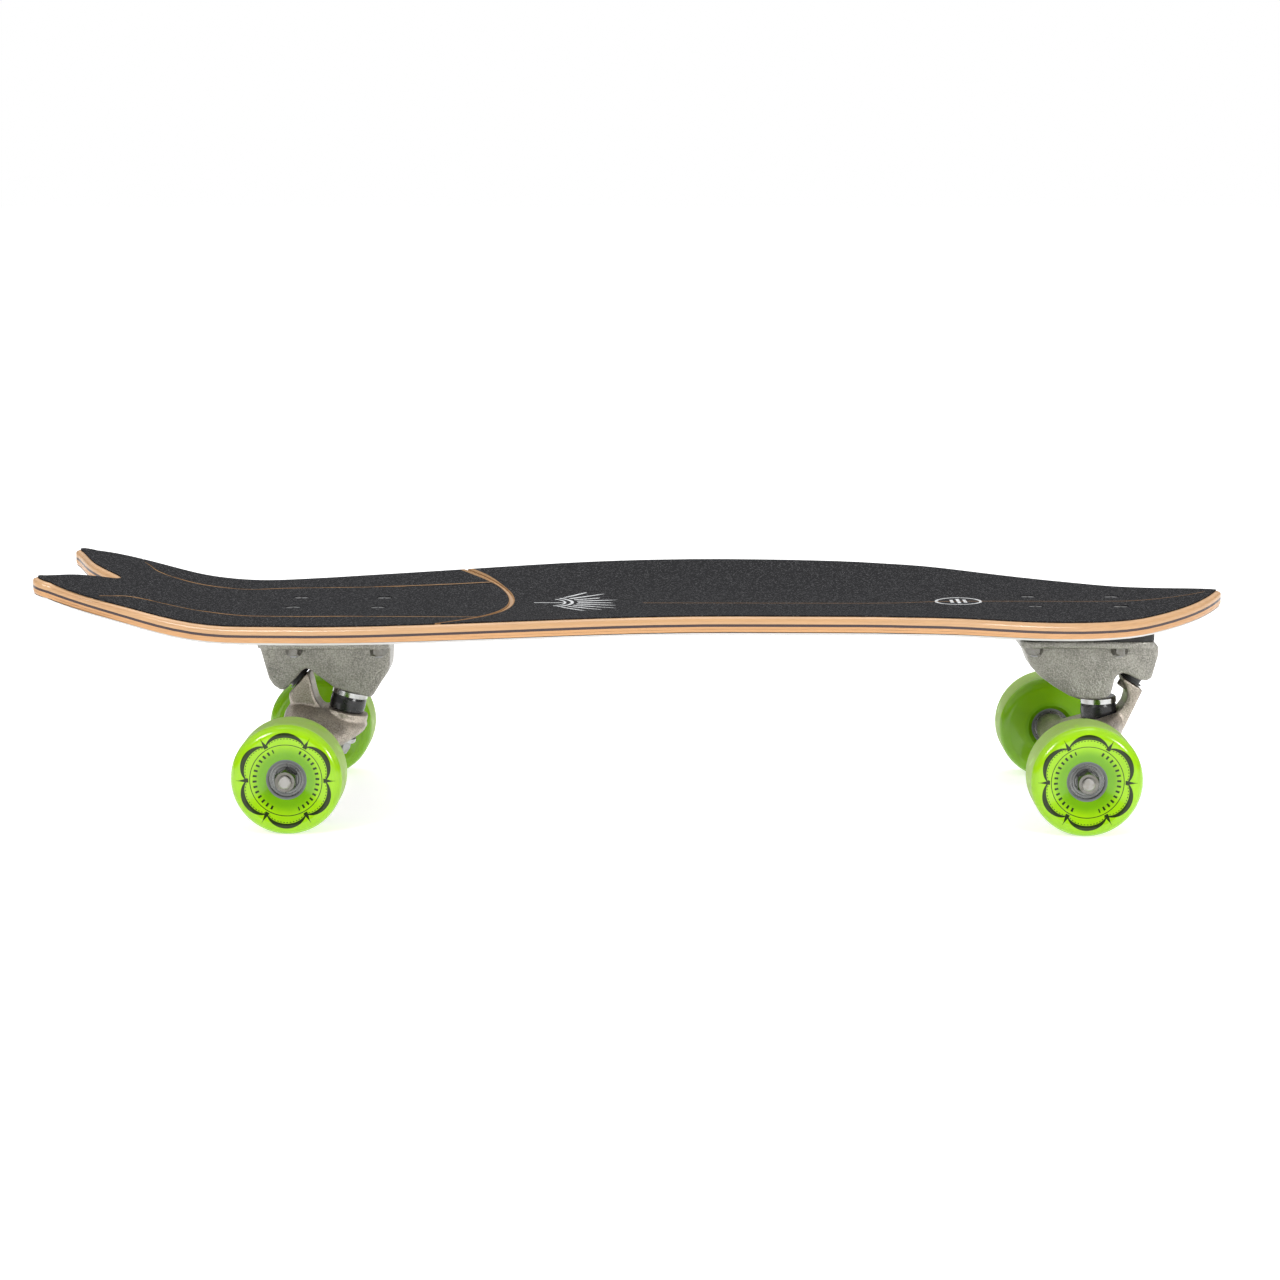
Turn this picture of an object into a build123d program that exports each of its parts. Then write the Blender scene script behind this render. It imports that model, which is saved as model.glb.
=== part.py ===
"""Carving skateboard: seven-ply swallow-tail deck, two cast trucks on rubber bushings, four wheels."""

import math
import os

from build123d import *

# ---------------------------------------------------------------- driving dimensions (mm, degrees)

# Wheels and bearings. Every height in this file is measured from a datum AXLE_Z below the axle centres.
# save() lifts the finished solids by LIFT, so the wheels stand on z = 0.
AXLE_Z = 33.0
WHEEL_R = 34.5
LIFT = WHEEL_R - AXLE_Z
LIP_R = 6.5
TYRE_DISH_R = 21.0
TYRE_HUB_R = 15.0
TYRE_IN_Y = 68.2
TYRE_OUT_Y = 103.5
CORE_R = 12.5
CORE_RIB_R = 15.5
CORE_STEP_R = 9.2
CORE_IN_Y = 73.9
CORE_OUT_Y = 99.9
BEARING_OD = 22.0
BEARING_BORE = 8.0
BEARING_W = 7.0
SPACER_LENGTH = 10.0
BALL_D = 3.9
BALL_PITCH_R = 7.5
BALL_COUNT = 7
INNER_RACE_R = 6.0
OUTER_RACE_BORE_R = 9.0
SHIELD_R = (6.3, 9.9)
SHIELD_T = 0.4
SHIELD_RECESS = 0.5
SPACER_R = 5.3
RUNNING_CLEARANCE = 0.05

# Axles
AXLE_D = 7.94
AXLE_LENGTH = 218.6
AXLE_GROOVE_Y = (106.4, 107.3)
AXLE_GROOVE_R = 3.4
AXLE_NUT_AF = 12.7
AXLE_NUT_H = 7.5
SPEED_WASHER_T = 1.0
SPEED_WASHER_R = 5.9

# Deck
DECK_HALF_LENGTH = 373.7
PLY_T = 1.59
PLY_COUNT = 7
RAIL_INSETS = (1.5, 0.4, 0.0, 0.0, 0.0, 0.4, 1.5)
GRIP_T = 0.9
GRIP_INSET = 3.2
GRIP_ARCH_GAP = 2.6
GRIP_SIDE_GAP = 1.4
CENTRE_TOP_Z = 127.1
NOSE_STEP = 1.5
CONCAVE = 12.2
CONCAVE_HALF_WIDTH = 127.0
TAIL_KICK_X = -272.4
TAIL_KICK_SLOPE = 0.268
TAIL_KICK_BLEND = 30.0
NOSE_LIFT_X = 300.0
NOSE_LIFT_RATE = 0.0016

# Truck mounting
BOLT_PITCH_X = 53.975
BOLT_PITCH_Y = 41.275
BOLT_D = 4.8
BOLT_HOLE_D = 5.4
BOLT_LENGTH = 31.75
BOLT_HEAD_D = 9.5
BOLT_PROUD = 0.5
BOLT_SHANK_DROP = 0.6
BOLT_RECESS = (1.1, 4.6, 1.6)
PLY_HOLE_RADII = (4.9, 3.2, 2.7, 2.7, 2.7, 2.7, 2.7)
GRIP_HOLE_R = 5.0
MOUNT_NUT_AF = 9.5
MOUNT_NUT_H = 4.5
RISER_T = 9.5
FLANGE_T = 5.0
FLANGE_HALF_WIDTH = 27.5
KEEL_HALF_WIDTH = 14.5

# Kingpin stack, measured along the kingpin from the baseplate's boss face
KINGPIN_D = 9.5
KINGPIN_HEAD_AF = 14.3
KINGPIN_HEAD_S = (-33.0, -27.0)
KINGPIN_END_S = 43.5
WASHER_T = 1.6
RING_TOP_S = 14.0
RING_T = 9.5
RING_R = 14.6
RING_BORE_R = 7.4
LOWER_STACK_S = 32.8
NUT_S = LOWER_STACK_S + WASHER_T
KINGPIN_NUT_AF = 14.3
KINGPIN_NUT_H = 8.0
STACK_POCKET_R = 15.2
UPPER_POCKET_R = 13.0
BOSS_FACE_R = 12.3

# Pivot
PIVOT_STEM_R = 5.0
PIVOT_STEM_LENGTH = 11.5
PIVOT_CUP_R = 7.2
PIVOT_CUP_DEPTH = 13.5
PIVOT_GAP = 1.5
NECK_HALF_WIDTH = 10.5
NECK_SWEEP_R = 14.2

# Hanger
TUBE_R = 9.75
HANGER_END_Y = 73.5

DECK_T = PLY_T * PLY_COUNT
RING_CENTRE_S = RING_TOP_S + RING_T / 2

# Each truck in its own side view: x from the axle (toward the nose), z above the ground.
REAR = {
    "name": "rear",
    "axle_x": -213.7,
    "bolts_x": -191.3,
    "kingpin_top": (29.3, 71.8),
    "kingpin_lean": 14.5,
    "pivot_angle": 138.0,
    "flange": (-28.0, 56.5),
    "shoulder": 38.2,
}
FRONT = {
    "name": "front",
    "axle_x": 276.7,
    "bolts_x": 279.8,
    "kingpin_top": (20.2, 68.3),
    "kingpin_lean": -3.0,
    "pivot_angle": 58.0,
    "flange": (-33.0, 52.0),
    "shoulder": 35.6,
}


# ---------------------------------------------------------------- deck form

def smooth(t):
    """Ease from 0 to 1 with level ends."""
    t = min(max(t, 0.0), 1.0)
    return t * t * (3 - 2 * t)


def tail_kick(x):
    """Height that the tail gains behind its bend, with a parabolic blend."""
    behind = TAIL_KICK_X - x
    if behind <= -TAIL_KICK_BLEND:
        return 0.0
    if behind >= TAIL_KICK_BLEND:
        return TAIL_KICK_SLOPE * behind
    return TAIL_KICK_SLOPE * (behind + TAIL_KICK_BLEND) ** 2 / (4 * TAIL_KICK_BLEND)


def centre_z(x):
    """Top of the wood along the deck's centreline."""
    nose_lift = NOSE_LIFT_RATE * max(x - NOSE_LIFT_X, 0.0) ** 2
    return CENTRE_TOP_Z + NOSE_STEP * smooth((x - 150) / 60) + tail_kick(x) + nose_lift


def concave(x):
    """Rise of the rails over the centreline at the reference half width."""
    return CONCAVE * (1 - smooth((60 - x) / 360)) * (1 - smooth((x - 140) / 180))


def deck_top_z(x, y):
    """Top of the wood anywhere on the deck."""
    return centre_z(x) + concave(x) * (y / CONCAVE_HALF_WIDTH) ** 2


def deck_slab(top_offset, thickness):
    """Curved slab that follows the deck's top; its own top lies top_offset above the wood's."""
    rows = []
    for i in range(45):
        x = -396 + 18 * i
        rows.append([Vector(x, y, deck_top_z(x, y) + top_offset) for y in range(-144, 145, 18)])
    sheet = Face.make_surface_from_array_of_points(rows, tol=0.01)
    return extrude(sheet, amount=thickness, dir=(0, 0, -1))


def plan_prism(face):
    """Upright prism through the deck's whole height."""
    return extrude(face, amount=90, dir=(0, 0, 1)).moved(Location((0, 0, 90)))


def bounded_face(*curves):
    """Flat face inside curves that meet end to end."""
    edges = [edge for curve in curves for edge in curve.edges()]
    return make_face(edges)


def outline_curves():
    """Left half of the plan outline, nose to tail tip to notch, then the notch's round."""
    side_points = [
        (DECK_HALF_LENGTH, 0),
        (357, 29),
        (322, 64),
        (280, 89.5),
        (230, 106.5),
        (170, 118.8),
        (100, 125.8),
        (30, 127.4),
        (-50, 126.2),
        (-120, 120.3),
        (-190, 111.0),
        (-250, 99.0),
        (-300, 90.0),
        (-336, 84.5),
        (-362, 75.5),
    ]
    side = Spline(*side_points, tangents=[(0, 1), (-1, -0.62)])
    tip = ThreePointArc((-362, 75.5), (-373.3, 64.6), (-370.6, 56.5))
    notch_side = Spline((-370.6, 56.5), (-356, 26), (-337.6, 6.5), tangents=[(0.55, -1), (1, -0.9)])
    notch = ThreePointArc((-337.6, 6.5), (-334.6, 0), (-337.6, -6.5))
    return [side, tip, notch_side, notch]


def inset_point(curves, number, t, inset):
    """Point on one curve of the outline, moved into the wood; joints share a mean direction."""
    heading = curves[number] % t
    if t == 1 and number < 3:
        heading = (heading + curves[number + 1] % 0).normalized()
    if t == 0 and number > 0:
        heading = (heading + curves[number - 1] % 1).normalized()
    inward = Vector(-heading.Y, heading.X)
    return curves[number] @ t + inward * inset


def deck_plan(inset=0.0):
    """Plan outline as a face: round nose, full waist and a swallow tail with a rounded notch."""
    curves = outline_curves()
    side = Spline(*[inset_point(curves, 0, i / 22, inset) for i in range(23)])
    tip = ThreePointArc(*[inset_point(curves, 1, t, inset) for t in (0, 0.5, 1)])
    notch_side = Spline(*[inset_point(curves, 2, i / 6, inset) for i in range(7)])
    notch_start = inset_point(curves, 3, 0, inset)
    notch_end = Vector(notch_start.X, -notch_start.Y)
    notch = ThreePointArc(notch_start, inset_point(curves, 3, 0.5, inset), notch_end)
    half = [side, tip, notch_side]
    mirrored = [edge.mirror(Plane.XZ) for edge in half]
    return bounded_face(*half, notch, *mirrored)


def bolt_places(truck):
    """Plan positions of one truck's four mounting bolts."""
    places = []
    for sx in (-1, 1):
        for sy in (-1, 1):
            places.append((truck["bolts_x"] + sx * BOLT_PITCH_X / 2, sy * BOLT_PITCH_Y / 2))
    return places


def mounting_holes(radius):
    """Eight round holes of one radius where the mounting bolts go through."""
    holes = []
    for truck in (REAR, FRONT):
        for x, y in bolt_places(truck):
            holes.append(Cylinder(radius, 80).moved(Location((x, y, centre_z(truck["bolts_x"])))))
    return holes


def deck_plies():
    """Seven plies, top first; the outer ones stop short of the rail, which rounds its edge."""
    plies = []
    for i in range(PLY_COUNT):
        ply = deck_slab(-i * PLY_T, PLY_T) & plan_prism(deck_plan(RAIL_INSETS[i]))
        plies.append(ply - mounting_holes(PLY_HOLE_RADII[i]))
    return plies


# ---------------------------------------------------------------- grip sheet

def arch_x(y):
    """Front edge of the tail pad: an arch that bows toward the nose."""
    return -80.6 - 37.4 * (y / 117.0) ** 2


def arch_line(shift):
    """The arch across the whole deck, moved along x."""
    return Spline(*[(arch_x(y) + shift, y) for y in range(-140, 141, 35)])


def seam_line(side, shift):
    """Seam along one side of the tail pad, flaring out to the tail tip."""
    points = [
        (-75, 80),
        (-172, 63.5),
        (-232, 60),
        (-270, 50),
        (-305, 49),
        (-325, 68),
        (-336, 110),
    ]
    return Spline(*[(x, side * (y + shift)) for x, y in points])


def behind_arch(shift):
    """Everything behind the arch, as a flat face."""
    arch = arch_line(shift)
    back = Polyline(arch @ 1, (-420, 140), (-420, -140), arch @ 0)
    return bounded_face(arch, back)


def outside_seam(side, shift):
    """Everything outboard of one side seam, as a flat face."""
    seam = seam_line(side, shift)
    corner_y = side * 150
    rest = Polyline(seam @ 1, (-336, corner_y), (-60, corner_y), (-60, side * (80 + shift)), seam @ 0)
    return bounded_face(seam, rest)


def grip_pieces():
    """The abrasive sheet: one main piece and a three-piece tail pad, with the wood showing between."""
    sheet = deck_slab(GRIP_T, GRIP_T) & plan_prism(deck_plan(GRIP_INSET))
    half_gap = GRIP_SIDE_GAP / 2
    main = sheet - plan_prism(behind_arch(GRIP_ARCH_GAP / 2))
    tail = sheet & plan_prism(behind_arch(-GRIP_ARCH_GAP / 2))
    centre = tail
    for side in (-1, 1):
        centre = centre - plan_prism(outside_seam(side, -half_gap))
    for x, y in bolt_places(FRONT):
        main = main - Cylinder(GRIP_HOLE_R, 60).moved(Location((x, y, 130)))
    for x, y in bolt_places(REAR):
        centre = centre - Cylinder(GRIP_HOLE_R, 60).moved(Location((x, y, 130)))
    right = tail & plan_prism(outside_seam(-1, half_gap))
    left = tail & plan_prism(outside_seam(1, half_gap))
    return {"grip_main": main, "grip_tail_centre": centre, "grip_tail_left": left, "grip_tail_right": right}


# ---------------------------------------------------------------- truck frames

def at_axle(truck, dx, y, z):
    """A truck-local place in the part's frame."""
    return Vector(truck["axle_x"] + dx, y, z)


def kingpin_up(truck):
    """Unit direction up along the kingpin."""
    lean = math.radians(truck["kingpin_lean"])
    return Vector(math.sin(lean), 0, math.cos(lean))


def kingpin_point(truck, s):
    """Place on the kingpin's axis, s below the baseplate's boss face."""
    dx, z = truck["kingpin_top"]
    return at_axle(truck, dx, 0, z) - kingpin_up(truck) * s


def pivot_up(truck):
    """Unit direction of the pivot axis, from the kingpin ring up to the pivot cup."""
    angle = math.radians(truck["pivot_angle"])
    return Vector(math.cos(angle), 0, math.sin(angle))


def pivot_point(truck, distance):
    """Place on the pivot axis, measured from the ring's centre."""
    return kingpin_point(truck, RING_CENTRE_S) + pivot_up(truck) * distance


def flange_top_z(truck):
    """Underside of the riser."""
    return centre_z(truck["bolts_x"]) - DECK_T - RISER_T


def rod(start, direction, radius, length):
    """Round bar from a start point along a direction."""
    plane = Plane(origin=start, z_dir=direction)
    return plane * Cylinder(radius, length, align=(Align.CENTER, Align.CENTER, Align.MIN))


def ring_on(start, direction, outer, inner, length):
    """Round tube from a start point along a direction."""
    longer = rod(start - direction, direction, inner, length + 2)
    return rod(start, direction, outer, length) - longer


def hex_on(start, direction, across_flats, length, bore_r=0.0):
    """Hexagon bar along a direction, with crowned corners and a bore if one is given."""
    plane = Plane(origin=start, z_dir=direction)
    section = RegularPolygon(across_flats / 2, 6, major_radius=False)
    bar = extrude(section, amount=length)
    crown_r = across_flats / math.sqrt(3)
    upright = (Align.CENTER, Align.CENTER, Align.MIN)
    crown = Cone(crown_r, across_flats / 2 * 0.94, length, align=upright)
    stretch = Cone(crown_r + 1.5, across_flats / 2 * 0.96, length, align=upright)
    bar = bar & (crown + stretch)
    if bore_r:
        bar = bar - Cylinder(bore_r, 3 * length)
    return plane * bar


def side_profile(truck, points, half_width):
    """Plate with a side-view outline, centred on the truck's middle plane."""
    corners = [at_axle(truck, dx, 0, z) for dx, z in points]
    face = make_face(Polyline(*corners, close=True))
    return extrude(face, amount=half_width, dir=(0, 1, 0), both=True)


# ---------------------------------------------------------------- trucks: the fixed half

def riser_pad(truck):
    """Rubber pad between deck and baseplate."""
    x0, x1 = truck["flange"]
    bottom = flange_top_z(truck)
    middle = at_axle(truck, (x0 + x1) / 2, 0, bottom + RISER_T / 2)
    pad = Box(x1 - x0, 2 * FLANGE_HALF_WIDTH, RISER_T).moved(Location(middle))
    pad = fillet(pad.edges().filter_by(Axis.Z), 8)
    cutters = [deck_slab(-DECK_T + 3, 3)]
    for x, y in bolt_places(truck):
        cutters.append(Cylinder(BOLT_HOLE_D / 2, 40).moved(Location((x, y, bottom))))
    return pad - cutters


REAR_KEEL = (
    (-28.0, 103.0),
    (-25.0, 91.8),
    (-22.0, 80.6),
    (-19.0, 76.0),
    (-14.8, 73.2),
    (-11.6, 73.2),
    (-0.1, 86.0),
    (2.1, 87.2),
    (4.4, 86.4),
    (20.6, 74.1),
    (42.6, 68.4),
    (44.6, 69.6),
    (50.2, 78.5),
    (54.3, 84.5),
    (55.6, 88.2),
    (56.5, 103.0),
)
FRONT_KEEL = (
    (-33.0, 104.5),
    (-29.4, 99.9),
    (-25.4, 89.8),
    (-19.8, 83.6),
    (-10.2, 76.6),
    (-0.5, 70.7),
    (6.0, 68.2),
    (19.0, 68.2),
    (23.5, 69.0),
    (26.2, 71.2),
    (27.6, 76.2),
    (28.6, 81.4),
    (30.6, 84.2),
    (34.2, 85.2),
    (37.9, 84.0),
    (43.1, 81.2),
    (49.3, 80.3),
    (52.2, 82.4),
    (53.7, 88.2),
    (56.0, 97.1),
    (56.0, 102.3),
    (51.8, 107.0),
)


def baseplate(truck, keel_points):
    """Cast baseplate: bolt flange over a deep keel that holds the kingpin and the pivot cup."""
    top = flange_top_z(truck)
    x0, x1 = truck["flange"]
    middle = at_axle(truck, (x0 + x1) / 2, 0, top - FLANGE_T / 2)
    flange = Box(x1 - x0, 2 * FLANGE_HALF_WIDTH, FLANGE_T).moved(Location(middle))
    flange = fillet(flange.edges().filter_by(Axis.Z), 8)
    outline = [(keel_points[0][0], top)] + list(keel_points) + [(keel_points[-1][0], top)]
    keel = side_profile(truck, outline, KEEL_HALF_WIDTH)
    side_edges = keel.faces().filter_by(Axis.Y).edges()
    lower_edges = [e for e in side_edges if e.center().Z < top - FLANGE_T - 1]
    keel = fillet(lower_edges, 1.2)
    body = flange + keel
    cutters = []
    for x, y in bolt_places(truck):
        cutters.append(Cylinder(BOLT_HOLE_D / 2, 60).moved(Location((x, y, top))))
    up = kingpin_up(truck)
    cutters.append(rod(kingpin_point(truck, 5), up, KINGPIN_D / 2, 60))
    cutters.append(rod(kingpin_point(truck, 12), up, BOSS_FACE_R, 12))
    head_pocket_r = KINGPIN_HEAD_AF / math.sqrt(3) + 0.4
    cutters.append(rod(kingpin_point(truck, KINGPIN_HEAD_S[1]), up, head_pocket_r, 20))
    shoulder = truck["shoulder"]
    axis = pivot_up(truck)
    cup_seat = pivot_point(truck, shoulder)
    cutters.append(rod(cup_seat, axis, PIVOT_CUP_R, PIVOT_CUP_DEPTH))
    cutters.append(rod(cup_seat - axis * 22, axis, NECK_SWEEP_R, 22))
    return body - cutters


def pivot_cup(truck):
    """Plastic cup with a thin rim that the hanger's stem turns in."""
    axis = pivot_up(truck)
    seat = pivot_point(truck, truck["shoulder"])
    cup = rod(seat, axis, PIVOT_CUP_R, PIVOT_CUP_DEPTH)
    rim = rod(seat - axis * 0.8, axis, PIVOT_CUP_R + 1.6, 0.8)
    bore = rod(seat - axis * 2, axis, PIVOT_STEM_R + RUNNING_CLEARANCE, PIVOT_CUP_DEPTH + 0.8)
    return cup + rim - bore


def kingpin(truck):
    """Kingpin bolt pressed into the baseplate from above."""
    up = kingpin_up(truck)
    head_start = kingpin_point(truck, KINGPIN_HEAD_S[1])
    head = hex_on(head_start, up, KINGPIN_HEAD_AF, KINGPIN_HEAD_S[1] - KINGPIN_HEAD_S[0])
    end = kingpin_point(truck, KINGPIN_END_S)
    shank = rod(end, up, KINGPIN_D / 2, KINGPIN_END_S - KINGPIN_HEAD_S[1])
    tip_edge = shank.edges().sort_by(Axis.Z)[0]
    return head + chamfer(tip_edge, 0.8)


def kingpin_nut(truck):
    """Lock nut that sets how tight the bushings are."""
    start = kingpin_point(truck, NUT_S)
    return hex_on(start, -kingpin_up(truck), KINGPIN_NUT_AF, KINGPIN_NUT_H, KINGPIN_D / 2)


def turned(truck, s_start, outline):
    """Solid turned about the kingpin; outline pairs are (radius, distance below s_start)."""
    plane = Plane(origin=kingpin_point(truck, s_start), x_dir=(0, 1, 0), z_dir=-kingpin_up(truck))
    section = make_face(Polyline(*[(r, 0, d) for r, d in outline], close=True))
    return plane * revolve(section, Axis.Z)


def bushing_washers(truck):
    """Cupped washers above the upper bushing and below the lower one."""
    bore = KINGPIN_D / 2
    upper = [
        (bore, 0),
        (10.6, 0),
        (11.5, 0.9),
        (11.5, 4.0),
        (10.8, 4.0),
        (10.8, WASHER_T),
        (bore, WASHER_T),
    ]
    lower = [
        (bore, 0),
        (9.9, 0),
        (9.9, -1.4),
        (10.6, -1.4),
        (10.6, 0.9),
        (9.9, WASHER_T),
        (bore, WASHER_T),
    ]
    return [turned(truck, 0, upper), turned(truck, LOWER_STACK_S, lower)]


def bushing_upper(truck):
    """Barrel bushing between the baseplate and the hanger's ring."""
    bore = KINGPIN_D / 2
    height = RING_TOP_S - WASHER_T
    outline = [
        (bore, 0),
        (10.7, 0),
        (10.7, 2.6),
        (11.3, 4.2),
        (11.5, 7.5),
        (11.2, height - 0.8),
        (10.6, height),
        (bore, height),
    ]
    return turned(truck, WASHER_T, outline)


def bushing_lower(truck):
    """Tapered bushing between the ring and the lower washer."""
    bore = KINGPIN_D / 2
    start = RING_TOP_S + RING_T
    height = LOWER_STACK_S - start
    outline = [
        (bore, 0),
        (10.2, 0),
        (10.8, 0.8),
        (9.7, height - 1.8),
        (9.7, height),
        (bore, height),
    ]
    return turned(truck, start, outline)


def mounting_bolts(truck):
    """Four flat-head bolts down through grip, deck, riser and baseplate."""
    head_z = centre_z(truck["bolts_x"]) + BOLT_PROUD
    recess_w, recess_l, recess_h = BOLT_RECESS
    bolts = []
    for x, y in bolt_places(truck):
        cone = Cone(0.01, BOLT_HEAD_D / 2, BOLT_HEAD_D / 2)
        head = cone.moved(Location((x, y, head_z - BOLT_HEAD_D / 4)))
        shank_length = BOLT_LENGTH - BOLT_SHANK_DROP
        shank_z = head_z - BOLT_SHANK_DROP - shank_length / 2
        shank = Cylinder(BOLT_D / 2, shank_length).moved(Location((x, y, shank_z)))
        recess = Box(recess_w, recess_l, recess_h) + Box(recess_l, recess_w, recess_h)
        bolts.append(head + shank - recess.moved(Location((x, y, head_z))))
    return bolts


def mounting_nuts(truck):
    """Four lock nuts under the flange."""
    under = flange_top_z(truck) - FLANGE_T
    nuts = []
    for x, y in bolt_places(truck):
        nuts.append(hex_on(Vector(x, y, under), Vector(0, 0, -1), MOUNT_NUT_AF, MOUNT_NUT_H, BOLT_D / 2))
    return nuts


# ---------------------------------------------------------------- trucks: the hanger

REAR_NECK = (
    (-9.4, 72.6),
    (-10.0, 68.0),
    (-9.0, 62.0),
    (-9.0, 36.0),
    (14.0, 36.0),
    (27.0, 48.0),
    (27.0, 56.5),
    (14.7, 59.4),
    (10.4, 61.6),
    (7.5, 66.0),
    (5.8, 72.0),
    (4.6, 78.0),
    (3.2, 82.6),
    (1.2, 84.4),
    (-1.2, 83.8),
)
FRONT_NECK = (
    (48.2, 75.0),
    (36.2, 48.6),
    (30.0, 38.0),
    (8.0, 36.0),
    (0.0, 48.0),
    (20.0, 54.4),
    (28.2, 57.6),
    (33.6, 61.0),
    (36.4, 65.0),
    (37.6, 70.3),
    (36.8, 75.6),
    (34.4, 79.2),
    (34.6, 82.0),
    (38.4, 82.0),
)
REAR_ARM = (
    (-9.6, 62.0),
    (-10.2, 33.0),
    (-2.0, 24.0),
    (12.0, 28.0),
    (27.0, 38.5),
    (38.0, 47.5),
    (27.0, 55.2),
    (10.0, 61.0),
)
FRONT_ARM = (
    (-9.0, 38.0),
    (-6.5, 25.6),
    (4.0, 24.2),
    (20.0, 30.0),
    (35.0, 46.5),
    (33.0, 58.0),
    (16.0, 55.6),
    (0.0, 50.0),
)
# How far each arm section has turned from the middle outline (0) into the axle tube's circle (1), by y.
ARM_SECTIONS = ((0, 0), (12, 0.04), (32, 0.62), (56, 0.985))


def arm_section(truck, outline, y, blend):
    """Closed smooth section at y: the outline near the middle, blending into the axle tube's circle."""
    points = []
    for dx, z in outline:
        angle = math.atan2(z - AXLE_Z, dx)
        ring_x = TUBE_R * math.cos(angle)
        ring_z = AXLE_Z + TUBE_R * math.sin(angle)
        points.append(at_axle(truck, dx + (ring_x - dx) * blend, y, z + (ring_z - z) * blend))
    return bounded_face(Spline(*points, periodic=True))


def hanger(truck, neck_points, arm_outline):
    """Cast hanger: pivot stem and neck, kingpin ring, and tapering arms around the axle."""
    neck = side_profile(truck, neck_points, NECK_HALF_WIDTH)
    neck = fillet(neck.faces().filter_by(Axis.Y).edges(), 1.6)
    axis = pivot_up(truck)
    shoulder = truck["shoulder"] - PIVOT_GAP
    up = kingpin_up(truck)
    ring = rod(kingpin_point(truck, RING_TOP_S + RING_T), up, RING_R, RING_T)
    stem = rod(pivot_point(truck, shoulder - 6), axis, PIVOT_STEM_R, 6 + PIVOT_GAP + PIVOT_STEM_LENGTH)
    tube_start = Vector(truck["axle_x"], -HANGER_END_Y, AXLE_Z)
    tube = rod(tube_start, Vector(0, 1, 0), TUBE_R, 2 * HANGER_END_Y)
    solid = neck + ring + tube
    for side in (-1, 1):
        sections = [arm_section(truck, arm_outline, side * y, blend) for y, blend in ARM_SECTIONS]
        solid = solid + loft(sections)
    ring_low = kingpin_point(truck, RING_TOP_S + RING_T)
    ring_high = kingpin_point(truck, RING_TOP_S)
    beyond_shoulder = rod(pivot_point(truck, shoulder), axis, 30, 30)
    solid = solid - rod(ring_low, -up, STACK_POCKET_R, 40)
    solid = solid - rod(ring_high, up, UPPER_POCKET_R, RING_TOP_S)
    solid = solid - beyond_shoulder + stem
    solid = solid - rod(ring_low - up * 5, up, RING_BORE_R, 30)
    return solid - rod(tube_start, Vector(0, 1, 0), AXLE_D / 2, 2 * HANGER_END_Y)


# ---------------------------------------------------------------- axle, bearings and wheels

def turned_on_axle(truck, outline, side=1):
    """Solid turned about the axle; outline pairs are (radius, distance from the truck's middle)."""
    section = make_face(Polyline(*[(truck["axle_x"] + r, side * y, AXLE_Z) for r, y in outline], close=True))
    return revolve(section, Axis((truck["axle_x"], 0, AXLE_Z), (0, 1, 0)))


def bearing_starts():
    """Inboard faces of a wheel's two bearings, measured from the truck's middle."""
    inner = HANGER_END_Y + SPEED_WASHER_T
    return (inner, inner + BEARING_W + SPACER_LENGTH)


def nut_face():
    """Inboard face of the axle nut."""
    return bearing_starts()[1] + BEARING_W + SPEED_WASHER_T


def axle(truck):
    """Steel axle pressed through the hanger, with a shallow groove at the face of each nut."""
    start = Vector(truck["axle_x"], -AXLE_LENGTH / 2, AXLE_Z)
    bar = rod(start, Vector(0, 1, 0), AXLE_D / 2, AXLE_LENGTH)
    bar = chamfer(bar.edges().filter_by(GeomType.CIRCLE), 0.7)
    for side in (-1, 1):
        near = Vector(truck["axle_x"], side * AXLE_GROOVE_Y[0], AXLE_Z)
        along = Vector(0, side, 0)
        length = AXLE_GROOVE_Y[1] - AXLE_GROOVE_Y[0]
        bar -= rod(near, along, AXLE_D, length) - rod(near, along, AXLE_GROOVE_R, length)
    return bar


def axle_nuts(truck):
    """One lock nut on each end of the axle."""
    nuts = []
    for side in (-1, 1):
        start = Vector(truck["axle_x"], side * nut_face(), AXLE_Z)
        nuts.append(hex_on(start, Vector(0, side, 0), AXLE_NUT_AF, AXLE_NUT_H, AXLE_D / 2))
    return nuts


def axle_washers(truck):
    """Speed washers on both sides of each pair of bearings."""
    washers = []
    for side in (-1, 1):
        for y in (HANGER_END_Y, nut_face() - SPEED_WASHER_T):
            start = Vector(truck["axle_x"], side * y, AXLE_Z)
            washers.append(ring_on(start, Vector(0, side, 0), SPEED_WASHER_R, AXLE_D / 2, SPEED_WASHER_T))
    return washers


def groove(truck, y):
    """Ball track around the axle at y."""
    plane = Plane(origin=(truck["axle_x"] + BALL_PITCH_R, y, AXLE_Z), z_dir=(0, 0, 1))
    circle = plane * Circle(BALL_D / 2 + RUNNING_CLEARANCE)
    return revolve(circle, Axis((truck["axle_x"], 0, AXLE_Z), (0, 1, 0)))


def inner_races(truck):
    """Inner races of the four bearings, which stay still on the axle."""
    races = []
    for side in (-1, 1):
        for y in bearing_starts():
            start = Vector(truck["axle_x"], side * y, AXLE_Z)
            race = ring_on(start, Vector(0, side, 0), INNER_RACE_R, AXLE_D / 2, BEARING_W)
            races.append(race - groove(truck, side * (y + BEARING_W / 2)))
    return races


def bearing_spacers(truck):
    """Tubes between the inner races of each wheel."""
    spacers = []
    for side in (-1, 1):
        start = Vector(truck["axle_x"], side * (bearing_starts()[0] + BEARING_W), AXLE_Z)
        spacers.append(ring_on(start, Vector(0, side, 0), SPACER_R, AXLE_D / 2, SPACER_LENGTH))
    return spacers


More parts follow.
